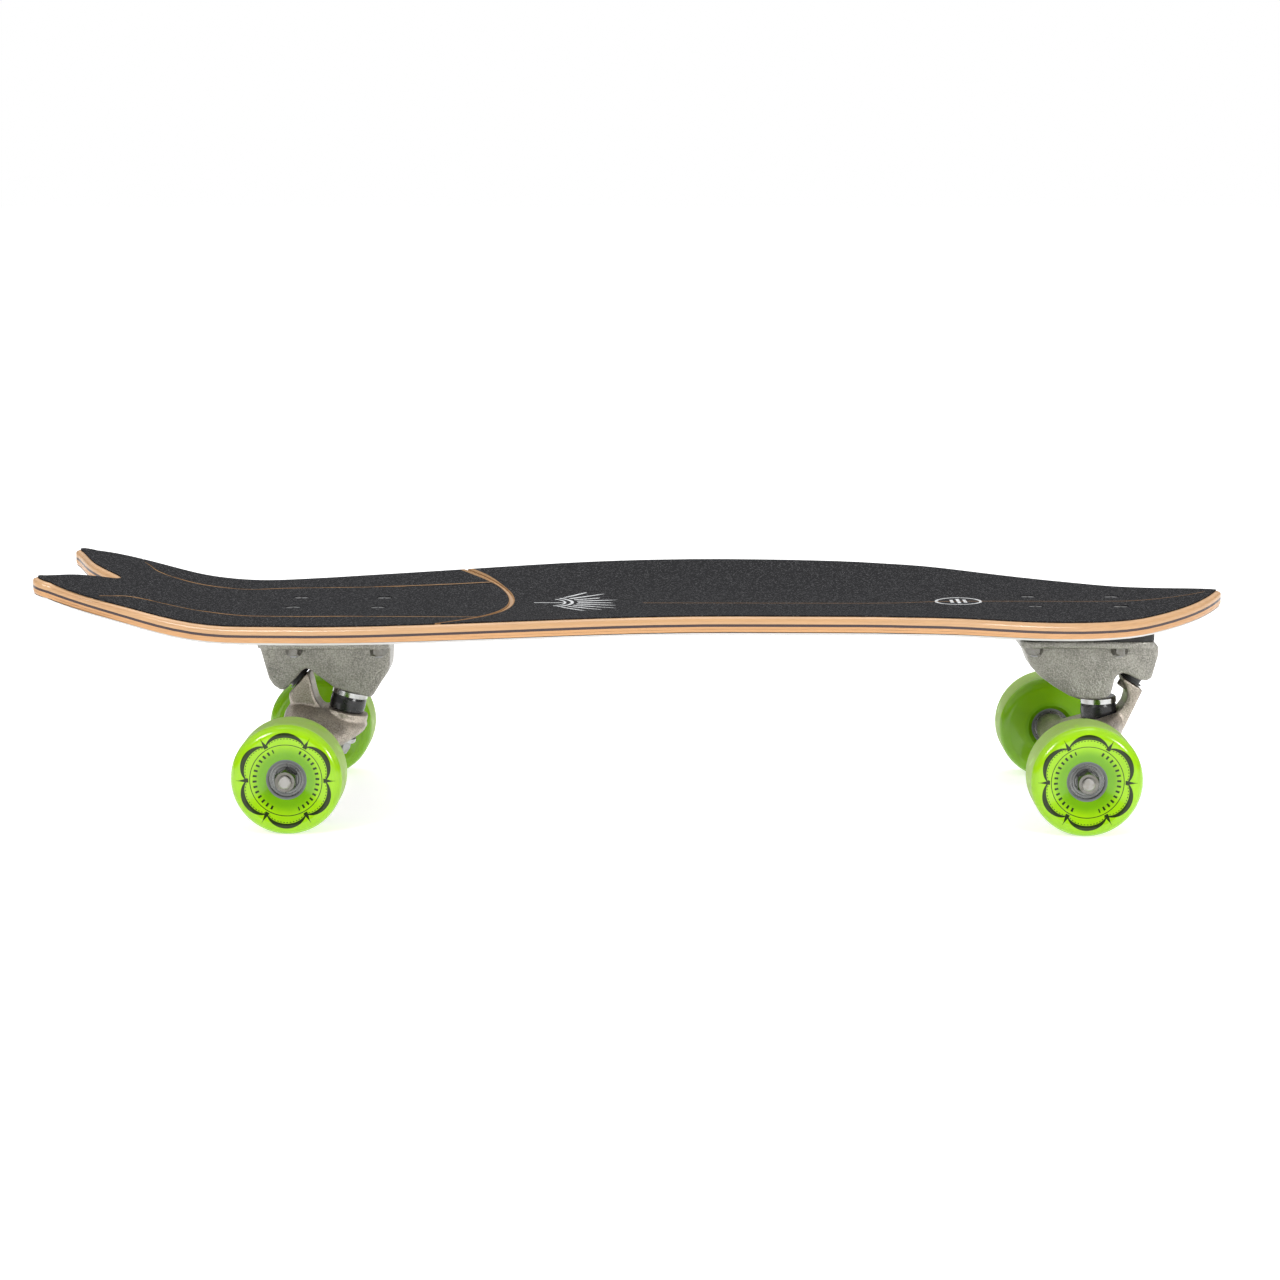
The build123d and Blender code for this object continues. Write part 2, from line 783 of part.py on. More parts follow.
def bearing_shells(truck, side):
    """Outer races and dust shields of one wheel's two bearings."""
    shells = []
    outer_r = BEARING_OD / 2
    shield_in, shield_out = SHIELD_R
    for y in bearing_starts():
        end = y + BEARING_W
        outline = [
            (OUTER_RACE_BORE_R, y + SHIELD_RECESS),
            (shield_out, y + SHIELD_RECESS),
            (shield_out, y),
            (outer_r, y),
            (outer_r, end),
            (shield_out, end),
            (shield_out, end - SHIELD_RECESS),
            (OUTER_RACE_BORE_R, end - SHIELD_RECESS),
        ]
        race = turned_on_axle(truck, outline, side)
        shells.append(race - groove(truck, side * (y + BEARING_W / 2)))
        for face in (y + SHIELD_RECESS - SHIELD_T, end - SHIELD_RECESS):
            start = Vector(truck["axle_x"], side * face, AXLE_Z)
            shells.append(ring_on(start, Vector(0, side, 0), shield_out, shield_in, SHIELD_T))
    return shells


def bearing_balls(truck, side):
    """Seven balls in each of one wheel's two bearings."""
    balls = []
    for y in bearing_starts():
        for k in range(BALL_COUNT):
            angle = 2 * math.pi * k / BALL_COUNT
            x = truck["axle_x"] + BALL_PITCH_R * math.cos(angle)
            z = AXLE_Z + BALL_PITCH_R * math.sin(angle)
            balls.append(Sphere(BALL_D / 2).moved(Location((x, side * (y + BEARING_W / 2), z))))
    return balls


def core_outline():
    """Outer outline of the plastic core, which is also the tyre's bore."""
    return [
        (CORE_R, CORE_IN_Y),
        (CORE_R, CORE_IN_Y + 4),
        (CORE_RIB_R, CORE_IN_Y + 7),
        (CORE_RIB_R, CORE_OUT_Y - 7),
        (CORE_R, CORE_OUT_Y - 4),
        (CORE_R, CORE_OUT_Y),
    ]


def wheel_core(truck, side):
    """Moulded core with a seat for each bearing and a step between them."""
    seat = BEARING_OD / 2
    first = bearing_starts()[0] + BEARING_W
    second = bearing_starts()[1]
    inner = [
        (seat, CORE_OUT_Y),
        (seat, second),
        (CORE_STEP_R, second),
        (CORE_STEP_R, first),
        (seat, first),
        (seat, CORE_IN_Y),
    ]
    return turned_on_axle(truck, core_outline() + inner, side)


def tyre(truck, side):
    """Urethane tyre with dished faces, round lips and a flat tread."""
    face_r = WHEEL_R - LIP_R
    half_way = LIP_R * (1 - math.sqrt(0.5))
    lip_r = WHEEL_R - half_way
    tread_in = TYRE_IN_Y + LIP_R
    tread_out = TYRE_OUT_Y - LIP_R
    hub_y = TYRE_IN_Y + 2.6
    section = [
        Polyline(*[(r, y) for r, y in reversed(core_outline())]),
        Line((CORE_R, CORE_IN_Y), (TYRE_HUB_R, hub_y)),
        Spline((TYRE_HUB_R, hub_y), (TYRE_DISH_R, TYRE_IN_Y + 1.2), (face_r, TYRE_IN_Y)),
        ThreePointArc((face_r, TYRE_IN_Y), (lip_r, TYRE_IN_Y + half_way), (WHEEL_R, tread_in)),
        Line((WHEEL_R, tread_in), (WHEEL_R, tread_out)),
        ThreePointArc((WHEEL_R, tread_out), (lip_r, TYRE_OUT_Y - half_way), (face_r, TYRE_OUT_Y)),
        Spline((face_r, TYRE_OUT_Y), (TYRE_DISH_R, TYRE_OUT_Y - 1.6), (CORE_R, CORE_OUT_Y)),
    ]
    face = bounded_face(*section)
    turned_tyre = revolve(face, Axis((0, 0, 0), (0, 1, 0)))
    if side < 0:
        turned_tyre = mirror(turned_tyre, about=Plane.XZ)
    return turned_tyre.moved(Location((truck["axle_x"], 0, AXLE_Z)))


# ---------------------------------------------------------------- assembly

def save(name, shapes):
    """Stand one node's solids on the ground and write them to their own STEP file."""
    shapes = shapes if isinstance(shapes, list) else [shapes]
    solids = []
    for shape in shapes:
        solids.extend(solid.moved(Location((0, 0, LIFT))) for solid in shape.solids())
    export_step(Compound(children=solids), os.path.join("parts", name + ".step"))


def main():
    os.makedirs("parts", exist_ok=True)
    for number, ply in enumerate(deck_plies(), start=1):
        save(f"deck_ply_{number}", ply)
    for name, piece in grip_pieces().items():
        save(name, piece)
    shapes = ((REAR, REAR_KEEL, REAR_NECK, REAR_ARM), (FRONT, FRONT_KEEL, FRONT_NECK, FRONT_ARM))
    for truck, keel_points, neck_points, arm_outline in shapes:
        name = truck["name"]
        save(f"{name}_riser_pad", riser_pad(truck))
        save(f"{name}_baseplate", baseplate(truck, keel_points))
        save(f"{name}_pivot_cup", pivot_cup(truck))
        save(f"{name}_kingpin", kingpin(truck))
        save(f"{name}_kingpin_nut", kingpin_nut(truck))
        save(f"{name}_bushing_washers", bushing_washers(truck))
        save(f"{name}_bushing_upper", bushing_upper(truck))
        save(f"{name}_bushing_lower", bushing_lower(truck))
        save(f"{name}_mounting_bolts", mounting_bolts(truck))
        save(f"{name}_mounting_nuts", mounting_nuts(truck))
        save(f"{name}_hanger", hanger(truck, neck_points, arm_outline))
        save(f"{name}_axle", axle(truck))
        save(f"{name}_axle_nuts", axle_nuts(truck))
        save(f"{name}_axle_washers", axle_washers(truck))
        save(f"{name}_inner_races", inner_races(truck))
        save(f"{name}_bearing_spacers", bearing_spacers(truck))
        for side, side_name in ((1, "left"), (-1, "right")):
            save(f"{name}_{side_name}_tyre", tyre(truck, side))
            save(f"{name}_{side_name}_core", wheel_core(truck, side))
            save(f"{name}_{side_name}_bearing_shells", bearing_shells(truck, side))
            save(f"{name}_{side_name}_bearing_balls", bearing_balls(truck, side))


if __name__ == "__main__":
    main()
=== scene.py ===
"""Swallow-tail cruiser skateboard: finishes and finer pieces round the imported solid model."""

import math

import bmesh
import bpy
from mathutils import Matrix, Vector


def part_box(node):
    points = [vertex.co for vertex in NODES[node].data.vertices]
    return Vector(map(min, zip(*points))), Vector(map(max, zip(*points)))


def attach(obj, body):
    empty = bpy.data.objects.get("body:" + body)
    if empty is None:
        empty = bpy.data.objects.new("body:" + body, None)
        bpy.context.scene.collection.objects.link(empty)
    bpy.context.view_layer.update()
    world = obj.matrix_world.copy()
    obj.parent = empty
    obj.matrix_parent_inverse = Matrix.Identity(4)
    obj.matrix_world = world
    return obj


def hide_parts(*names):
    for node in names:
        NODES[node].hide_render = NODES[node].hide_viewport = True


bl_info = {
    "name": "Cruiser Skateboard",
    "version": (1, 0, 0),
    "blender": (4, 5, 0),
    "location": "View3D > Sidebar > Skateboard",
    "description": "Rounds the rails, smooths the castings and finishes every piece of a cruiser skateboard",
    "category": "Object",
}

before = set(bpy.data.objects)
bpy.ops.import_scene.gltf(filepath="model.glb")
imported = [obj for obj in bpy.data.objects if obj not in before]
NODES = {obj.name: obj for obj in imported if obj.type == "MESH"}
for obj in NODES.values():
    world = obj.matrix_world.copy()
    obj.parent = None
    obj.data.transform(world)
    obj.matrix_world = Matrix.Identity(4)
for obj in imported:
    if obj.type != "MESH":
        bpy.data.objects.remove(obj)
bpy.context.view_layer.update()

MM = 0.001
PLY_THICKNESS = 1.59 * MM
TRUCKS = ("front", "rear")
SIDES = ("left", "right")
BOLT_HEAD_RADIUS = 4.75 * MM
CLEAR_OF_BOLTS = 9.0 * MM
SHEET_FACING = 0.4

# Each rounded ply: its node, the side of the stack that its round starts from, its first and last depth
# in plies, the inset of the solid's rim, and the steps in its round.
ROUNDED_PLIES = (
    ("deck_ply_1", 1, 0, 1, 1.5 * MM, 6),
    ("deck_ply_2", 1, 1, 2, 0.4 * MM, 4),
    ("deck_ply_6", -1, 1, 2, 0.4 * MM, 4),
    ("deck_ply_7", -1, 0, 1, 1.5 * MM, 6),
)

# The grip's tail pad, in millimetres: its arched front edge, and its half width against place on the board.
ARCH_FRONT = 80.6
ARCH_BOW = 37.4 / 117.0 ** 2
TAIL_SEAM = ((-336, 110), (-325, 68), (-305, 49), (-270, 50), (-232, 60), (-172, 63.5), (-75, 80))


# ---------------------------------------------------------------- settings

class DeckSettings(bpy.types.PropertyGroup):
    """Sizes and colours of the deck and its grip sheet."""

    rail_radius: bpy.props.FloatProperty(
        name="Rail Radius", description="Radius of the round along both edges of the rail",
        default=3.2 * MM, min=1.6 * MM, max=5 * MM, unit="LENGTH")
    maple: bpy.props.FloatVectorProperty(
        name="Maple", description="Colour of the light plies above the dark one",
        default=(0.56, 0.325, 0.155), size=3, min=0, max=1, subtype="COLOR")
    lower_maple: bpy.props.FloatVectorProperty(
        name="Lower Maple", description="Colour of the warmer plies under the dark one",
        default=(0.58, 0.30, 0.12), size=3, min=0, max=1, subtype="COLOR")
    dyed: bpy.props.FloatVectorProperty(
        name="Dyed Ply", description="Colour of the dark ply in the middle of the stack",
        default=(0.035, 0.014, 0.014), size=3, min=0, max=1, subtype="COLOR")
    underside: bpy.props.FloatVectorProperty(
        name="Underside", description="Colour of the paint under the deck",
        default=(0.55, 0.54, 0.53), size=3, min=0, max=1, subtype="COLOR")
    grip: bpy.props.FloatVectorProperty(
        name="Grip", description="Colour of the grit sheet",
        default=(0.0085, 0.0085, 0.0098), size=3, min=0, max=1, subtype="COLOR")
    ink: bpy.props.FloatVectorProperty(
        name="Grip Ink", description="Colour of the printed sun and badge",
        default=(0.62, 0.63, 0.64), size=3, min=0, max=1, subtype="COLOR")


class TruckSettings(bpy.types.PropertyGroup):
    """Sizes and colours of the trucks and their hardware."""

    cast_voxel: bpy.props.FloatProperty(
        name="Casting Detail", description="Spacing of the mesh that rounds the castings' corners",
        default=0.75 * MM, min=0.5 * MM, max=2 * MM, unit="LENGTH")
    cast_rounding: bpy.props.IntProperty(
        name="Casting Rounding", description="How far the castings' corners are rounded over",
        default=7, min=0, max=30)
    baseplate: bpy.props.FloatVectorProperty(
        name="Baseplate", description="Colour of the cast baseplates",
        default=(0.29, 0.28, 0.25), size=3, min=0, max=1, subtype="COLOR")
    hanger: bpy.props.FloatVectorProperty(
        name="Hanger", description="Colour of the cast hangers",
        default=(0.39, 0.345, 0.295), size=3, min=0, max=1, subtype="COLOR")
    zinc: bpy.props.FloatVectorProperty(
        name="Zinc", description="Colour of the plated kingpins and washers",
        default=(0.36, 0.365, 0.36), size=3, min=0, max=1, subtype="COLOR")
    nut: bpy.props.FloatVectorProperty(
        name="Nut", description="Colour of the axle nuts and mounting nuts",
        default=(0.19, 0.185, 0.17), size=3, min=0, max=1, subtype="COLOR")
    bolt: bpy.props.FloatVectorProperty(
        name="Bolt", description="Colour of the mounting bolts",
        default=(0.30, 0.30, 0.31), size=3, min=0, max=1, subtype="COLOR")
    axle: bpy.props.FloatVectorProperty(
        name="Axle", description="Colour of the axles, inner races and spacers",
        default=(0.34, 0.33, 0.315), size=3, min=0, max=1, subtype="COLOR")
    bushing: bpy.props.FloatVectorProperty(
        name="Bushing", description="Colour of the urethane bushings",
        default=(0.012, 0.012, 0.013), size=3, min=0, max=1, subtype="COLOR")
    cup: bpy.props.FloatVectorProperty(
        name="Pivot Cup", description="Colour of the pivot cups",
        default=(0.010, 0.010, 0.010), size=3, min=0, max=1, subtype="COLOR")
    riser: bpy.props.FloatVectorProperty(
        name="Riser", description="Colour of the rubber riser pads",
        default=(0.013, 0.013, 0.013), size=3, min=0, max=1, subtype="COLOR")


class WheelSettings(bpy.types.PropertyGroup):
    """Colours of the wheels and their bearings."""

    face: bpy.props.FloatVectorProperty(
        name="Face", description="Colour of the moulded, glossy part of the tyre",
        default=(0.290, 0.560, 0.002), size=3, min=0, max=1, subtype="COLOR")
    # The Depth colour is painted shade, laid near the core and on the far face, which faces the board. It is
    # also mixed in at random for a cloudy tone.
    depth: bpy.props.FloatVectorProperty(
        name="Depth", description="Colour of the tyre near its core and on its far face",
        default=(0.115, 0.315, 0.001), size=3, min=0, max=1, subtype="COLOR")
    tread: bpy.props.FloatVectorProperty(
        name="Tread", description="Colour of the stone-ground riding surface",
        default=(0.33, 0.47, 0.13), size=3, min=0, max=1, subtype="COLOR")
    ink: bpy.props.FloatVectorProperty(
        name="Ink", description="Colour of the printed rings and scallops",
        default=(0.006, 0.008, 0.004), size=3, min=0, max=1, subtype="COLOR")
    core: bpy.props.FloatVectorProperty(
        name="Core", description="Colour of the moulded bearing seat",
        default=(0.115, 0.125, 0.125), size=3, min=0, max=1, subtype="COLOR")
    shield: bpy.props.FloatVectorProperty(
        name="Shield", description="Colour of the bearings' outer races and shields",
        default=(0.20, 0.205, 0.20), size=3, min=0, max=1, subtype="COLOR")


class StageSettings(bpy.types.PropertyGroup):
    """Camera and light of the studio."""

    camera_place: bpy.props.FloatVectorProperty(
        name="Camera Place", description="Where the camera stands",
        default=(0.0250, -1.7959, 0.4029), size=3, subtype="TRANSLATION", unit="LENGTH")
    camera_down: bpy.props.FloatProperty(
        name="Camera Down", description="How far the camera looks below the level",
        default=0.1642, subtype="ANGLE", unit="ROTATION")
    camera_turn: bpy.props.FloatProperty(
        name="Camera Turn", description="How far the camera is turned to its left",
        default=0.0128, subtype="ANGLE", unit="ROTATION")
    lens: bpy.props.FloatProperty(
        name="Lens", description="Focal length of the camera in millimetres",
        default=79.6, min=10)
    sky: bpy.props.FloatProperty(
        name="Sky", description="Strength of the even light from all round",
        default=1.0, min=0)


# ---------------------------------------------------------------- node trees

class Tree:
    """Adds nodes to one node tree and joins them."""

    def __init__(self, tree):
        self.tree = tree

    def feed(self, socket, value):
        """Join a socket, or set it to a plain value."""
        if isinstance(value, bpy.types.NodeSocket):
            self.tree.links.new(value, socket)
        else:
            socket.default_value = value

    def add(self, kind, inputs=None, **settings):
        """A new node with its settings and inputs."""
        node = self.tree.nodes.new(kind)
        for name, value in settings.items():
            setattr(node, name, value)
        for name, value in (inputs or {}).items():
            self.feed(node.inputs[name], value)
        return node

    def sum(self, operation, *values):
        """One arithmetic step."""
        node = self.add("ShaderNodeMath", operation=operation)
        for socket, value in zip(node.inputs, values):
            self.feed(socket, value)
        return node.outputs[0]

    def ease(self, value, low, high, out_low=0.0, out_high=1.0):
        """A soft step from one value to another."""
        inputs = {"Value": value, "From Min": low, "From Max": high, "To Min": out_low, "To Max": out_high}
        return self.add("ShaderNodeMapRange", inputs, interpolation_type="SMOOTHSTEP").outputs["Result"]

    def ratio(self, value, low, high):
        """How far a value is from one level to another, from 0 to 1."""
        inputs = {"Value": value, "From Min": low, "From Max": high}
        return self.add("ShaderNodeMapRange", inputs).outputs["Result"]

    def blend(self, factor, first, second):
        """Two colours mixed by a mask."""
        node = self.add("ShaderNodeMix", data_type="RGBA")
        self.feed(node.inputs[0], factor)
        self.feed(node.inputs[6], first)
        self.feed(node.inputs[7], second)
        return node.outputs[2]

    def stretch(self, vector, scale):
        """A vector scaled along each axis."""
        inputs = {"Vector": vector, "Scale": scale}
        return self.add("ShaderNodeMapping", inputs).outputs[0]

    def noise(self, vector, scale, detail=3.0, roughness=0.5):
        """Smooth noise from 0 to 1."""
        inputs = {"Vector": vector, "Scale": scale, "Detail": detail, "Roughness": roughness}
        return self.add("ShaderNodeTexNoise", inputs).outputs["Fac"]

    def cells(self, vector, scale, feature="F1"):
        """Distance to the nearest of many scattered points, and the colour of its cell."""
        inputs = {"Vector": vector, "Scale": scale}
        node = self.add("ShaderNodeTexVoronoi", inputs, feature=feature)
        return node.outputs["Distance"], node.outputs["Color"]

    def parts(self, vector):
        """The three numbers of a vector."""
        return self.add("ShaderNodeSeparateXYZ", {"Vector": vector}).outputs

    def group(self, name, **inputs):
        """One of the shared groups, with its inputs."""
        node = self.add("ShaderNodeGroup", node_tree=bpy.data.node_groups[name])
        for key, value in inputs.items():
            self.feed(node.inputs[key.replace("_", " ")], value)
        return node.outputs

    def bump(self, height, distance, strength=1.0):
        """A normal tilted by a height."""
        inputs = {"Height": height, "Distance": distance, "Strength": strength}
        return self.add("ShaderNodeBump", inputs).outputs["Normal"]


def new_group(name, inputs, outputs):
    """An empty shader group with named sockets, and its tree, input sockets and output node."""
    group = bpy.data.node_groups.new(name, "ShaderNodeTree")
    kinds = {"vector": "NodeSocketVector", "number": "NodeSocketFloat", "colour": "NodeSocketColor"}
    for socket, kind in inputs:
        group.interface.new_socket(socket, in_out="INPUT", socket_type=kinds[kind])
    for socket, kind in outputs:
        group.interface.new_socket(socket, in_out="OUTPUT", socket_type=kinds[kind])
    tree = Tree(group)
    into = tree.add("NodeGroupInput").outputs
    out = tree.add("NodeGroupOutput").inputs
    return tree, into, out


def new_material(name, **settings):
    """A material with one Principled shader, its tree, the shader's inputs and the object coordinates."""
    material = bpy.data.materials.new(name)
    material.use_nodes = True
    material.node_tree.nodes.clear()
    tree = Tree(material.node_tree)
    shader = tree.add("ShaderNodeBsdfPrincipled")
    tree.add("ShaderNodeOutputMaterial", {"Surface": shader.outputs["BSDF"]})
    where = tree.add("ShaderNodeTexCoord").outputs["Object"]
    for key, value in settings.items():
        shader.inputs[key.replace("_", " ")].default_value = value
    return material, tree, shader.inputs, where


def opaque(colour):
    """A colour with full alpha."""
    return (*colour, 1.0)


# ---------------------------------------------------------------- shared effects

def make_wood_grain():
    """Fibres along the board: streaks, pores and slow shifts of tone."""
    tree, into, out = new_group(
        "Wood Grain",
        (("Vector", "vector"), ("Light", "colour"), ("Dark", "colour")),
        (("Color", "colour"), ("Height", "number"), ("Streak", "number")))
    fibre = tree.noise(tree.stretch(into["Vector"], (9, 260, 1300)), 1.0, 5.0, 0.62)
    pores = tree.noise(tree.stretch(into["Vector"], (60, 1500, 3200)), 1.0, 2.0)
    slow = tree.noise(tree.stretch(into["Vector"], (5, 14, 260)), 1.0, 2.0)
    streak = tree.ease(fibre, 0.34, 0.68)
    pore = tree.ease(pores, 0.60, 0.72)
    tone = tree.sum("ADD", tree.sum("MULTIPLY", streak, 0.30), tree.sum("MULTIPLY", slow, 0.20))
    tone = tree.sum("ADD", tone, tree.sum("MULTIPLY", pore, 0.22))
    tree.feed(out["Color"], tree.blend(tone, into["Light"], into["Dark"]))
    tree.feed(out["Height"], tree.sum("SUBTRACT", streak, pore))
    tree.feed(out["Streak"], streak)


def make_cast_skin():
    """Tumbled casting: fine pits, larger ripples and a patchy tone."""
    tree, into, out = new_group(
        "Cast Skin", (("Vector", "vector"), ("Base", "colour")),
        (("Color", "colour"), ("Height", "number"), ("Roughness", "number")))
    fine = tree.noise(into["Vector"], 1050.0, 4.0, 0.7)
    ripple = tree.noise(into["Vector"], 420.0, 3.0, 0.55)
    patch = tree.noise(into["Vector"], 70.0, 3.0, 0.6)
    distance, _ = tree.cells(into["Vector"], 1100.0)
    pit = tree.ease(distance, 0.08, 0.42)
    tone = tree.sum("ADD", tree.sum("MULTIPLY", fine, 0.68), tree.sum("MULTIPLY", patch, 0.32))
    lighter = tree.add("ShaderNodeHueSaturation", {"Color": into["Base"], "Value": 1.4}).outputs[0]
    darker = tree.add("ShaderNodeHueSaturation", {"Color": into["Base"], "Value": 0.62}).outputs[0]
    tree.feed(out["Color"], tree.blend(tree.ease(tone, 0.36, 0.64), darker, lighter))
    height = tree.sum("ADD", tree.sum("MULTIPLY", ripple, 1.1), tree.sum("MULTIPLY", fine, 0.45))
    tree.feed(out["Height"], tree.sum("ADD", height, tree.sum("MULTIPLY", pit, 0.22)))
    tree.feed(out["Roughness"], tree.ease(patch, 0.3, 0.7, 0.32, 0.46))


def make_handling():
    """Faint marks of handling: a roughness that wanders and sparse fine scuffs."""
    tree, into, out = new_group(
        "Handling", (("Vector", "vector"), ("Smooth", "number"), ("Rough", "number")),
        (("Roughness", "number"), ("Scuff", "number"), ("Height", "number")))
    cloud = tree.noise(into["Vector"], 160.0, 4.0, 0.6)
    line = tree.noise(tree.stretch(into["Vector"], (260, 2600, 900)), 1.0, 2.0)
    scuff = tree.ease(line, 0.66, 0.74)
    level = tree.add("ShaderNodeMapRange", {
        "Value": cloud, "From Min": 0.3, "From Max": 0.7,
        "To Min": into["Smooth"], "To Max": into["Rough"]}).outputs["Result"]
    tree.feed(out["Roughness"], tree.sum("ADD", level, tree.sum("MULTIPLY", scuff, 0.12)))
    tree.feed(out["Scuff"], scuff)
    tree.feed(out["Height"], tree.noise(into["Vector"], 2400.0, 2.0))


def make_polar():
    """Distance from an axle along Y in millimetres, and the turn about it."""
    tree, into, out = new_group(
        "Polar", (("Vector", "vector"),), (("Radius", "number"), ("Angle", "number")))
    x, _, z = tree.parts(into["Vector"])
    square = tree.sum("ADD", tree.sum("MULTIPLY", x, x), tree.sum("MULTIPLY", z, z))
    tree.feed(out["Radius"], tree.sum("MULTIPLY", tree.sum("SQRT", square), 1000.0))
    tree.feed(out["Angle"], tree.sum("ARCTAN2", z, x))


def make_line():
    """A line of some width where a value crosses a level."""
    tree, into, out = new_group(
        "Line", (("Value", "number"), ("Level", "number"), ("Half Width", "number"), ("Soft", "number")),
        (("Mask", "number"),))
    away = tree.sum("ABSOLUTE", tree.sum("SUBTRACT", into["Value"], into["Level"]))
    edge = tree.sum("SUBTRACT", tree.sum("ADD", into["Half Width"], into["Soft"]), away)
    fade = tree.add("ShaderNodeMath", {0: edge, 1: into["Soft"]}, operation="DIVIDE", use_clamp=True)
    tree.feed(out["Mask"], fade.outputs[0])


def make_wheel_print():
    """Ink on a wheel's outer face: a thin ring, six scallops with beads, and a ring of scale marks."""
    ring_radius = 22.2
    marks_radius = 19.3
    scallops_start = 23.0
    ink_edge = 30.4
    outer_face = 11.0 * MM
    tree, into, out = new_group("Wheel Print", (("Vector", "vector"),), (("Mask", "number"),))
    radius, angle = tree.group("Polar", Vector=into["Vector"])
    _, y, _ = tree.parts(into["Vector"])

    def line(value, level, half_width, soft=0.12):
        return tree.group("Line", Value=value, Level=level, Half_Width=half_width, Soft=soft)["Mask"]

    lobe = tree.sum("ABSOLUTE", tree.sum("SINE", tree.sum("MULTIPLY", angle, 3.0)))
    swell = tree.sum("POWER", lobe, 0.6)
    crest = tree.sum("ADD", 23.4, tree.sum("MULTIPLY", swell, 5.0))
    crescent = line(radius, crest, tree.sum("ADD", 0.35, tree.sum("MULTIPLY", lobe, 1.15)))
    inner = tree.sum("SUBTRACT", crest, tree.sum("ADD", 0.9, tree.sum("MULTIPLY", lobe, 1.3)))
    beads = tree.sum("GREATER_THAN", tree.sum("SINE", tree.sum("MULTIPLY", angle, 84.0)), -0.1)
    beaded = tree.sum("MULTIPLY", line(radius, inner, 0.16), beads)
    beaded = tree.sum("MULTIPLY", beaded, tree.sum("GREATER_THAN", radius, 22.9))
    spike_width = tree.ease(radius, scallops_start, 30.0, 1.25, 0.05)
    across = tree.sum("MULTIPLY", tree.sum("MULTIPLY", lobe, 0.3333), radius)
    beyond = tree.sum("GREATER_THAN", radius, scallops_start)
    spike = tree.sum("MULTIPLY", line(across, 0.0, spike_width), beyond)
    ring = line(radius, ring_radius, 0.18)
    marks = line(tree.sum("SINE", tree.sum("MULTIPLY", angle, 36.0)), 1.0, 0.55, 0.2)
    marks = tree.sum("MULTIPLY", marks, line(radius, marks_radius, 1.15))
    gate = tree.sum("GREATER_THAN", tree.sum("COSINE", tree.sum("MULTIPLY", angle, 2.0)), -0.72)
    marks = tree.sum("MULTIPLY", marks, gate)
    ink = crescent
    for more in (beaded, spike, ring, marks):
        ink = tree.sum("MAXIMUM", ink, more)
    ink = tree.sum("MULTIPLY", ink, tree.sum("LESS_THAN", radius, ink_edge))
    tree.feed(out["Mask"], tree.sum("MULTIPLY", ink, tree.sum("GREATER_THAN", y, outer_face)))


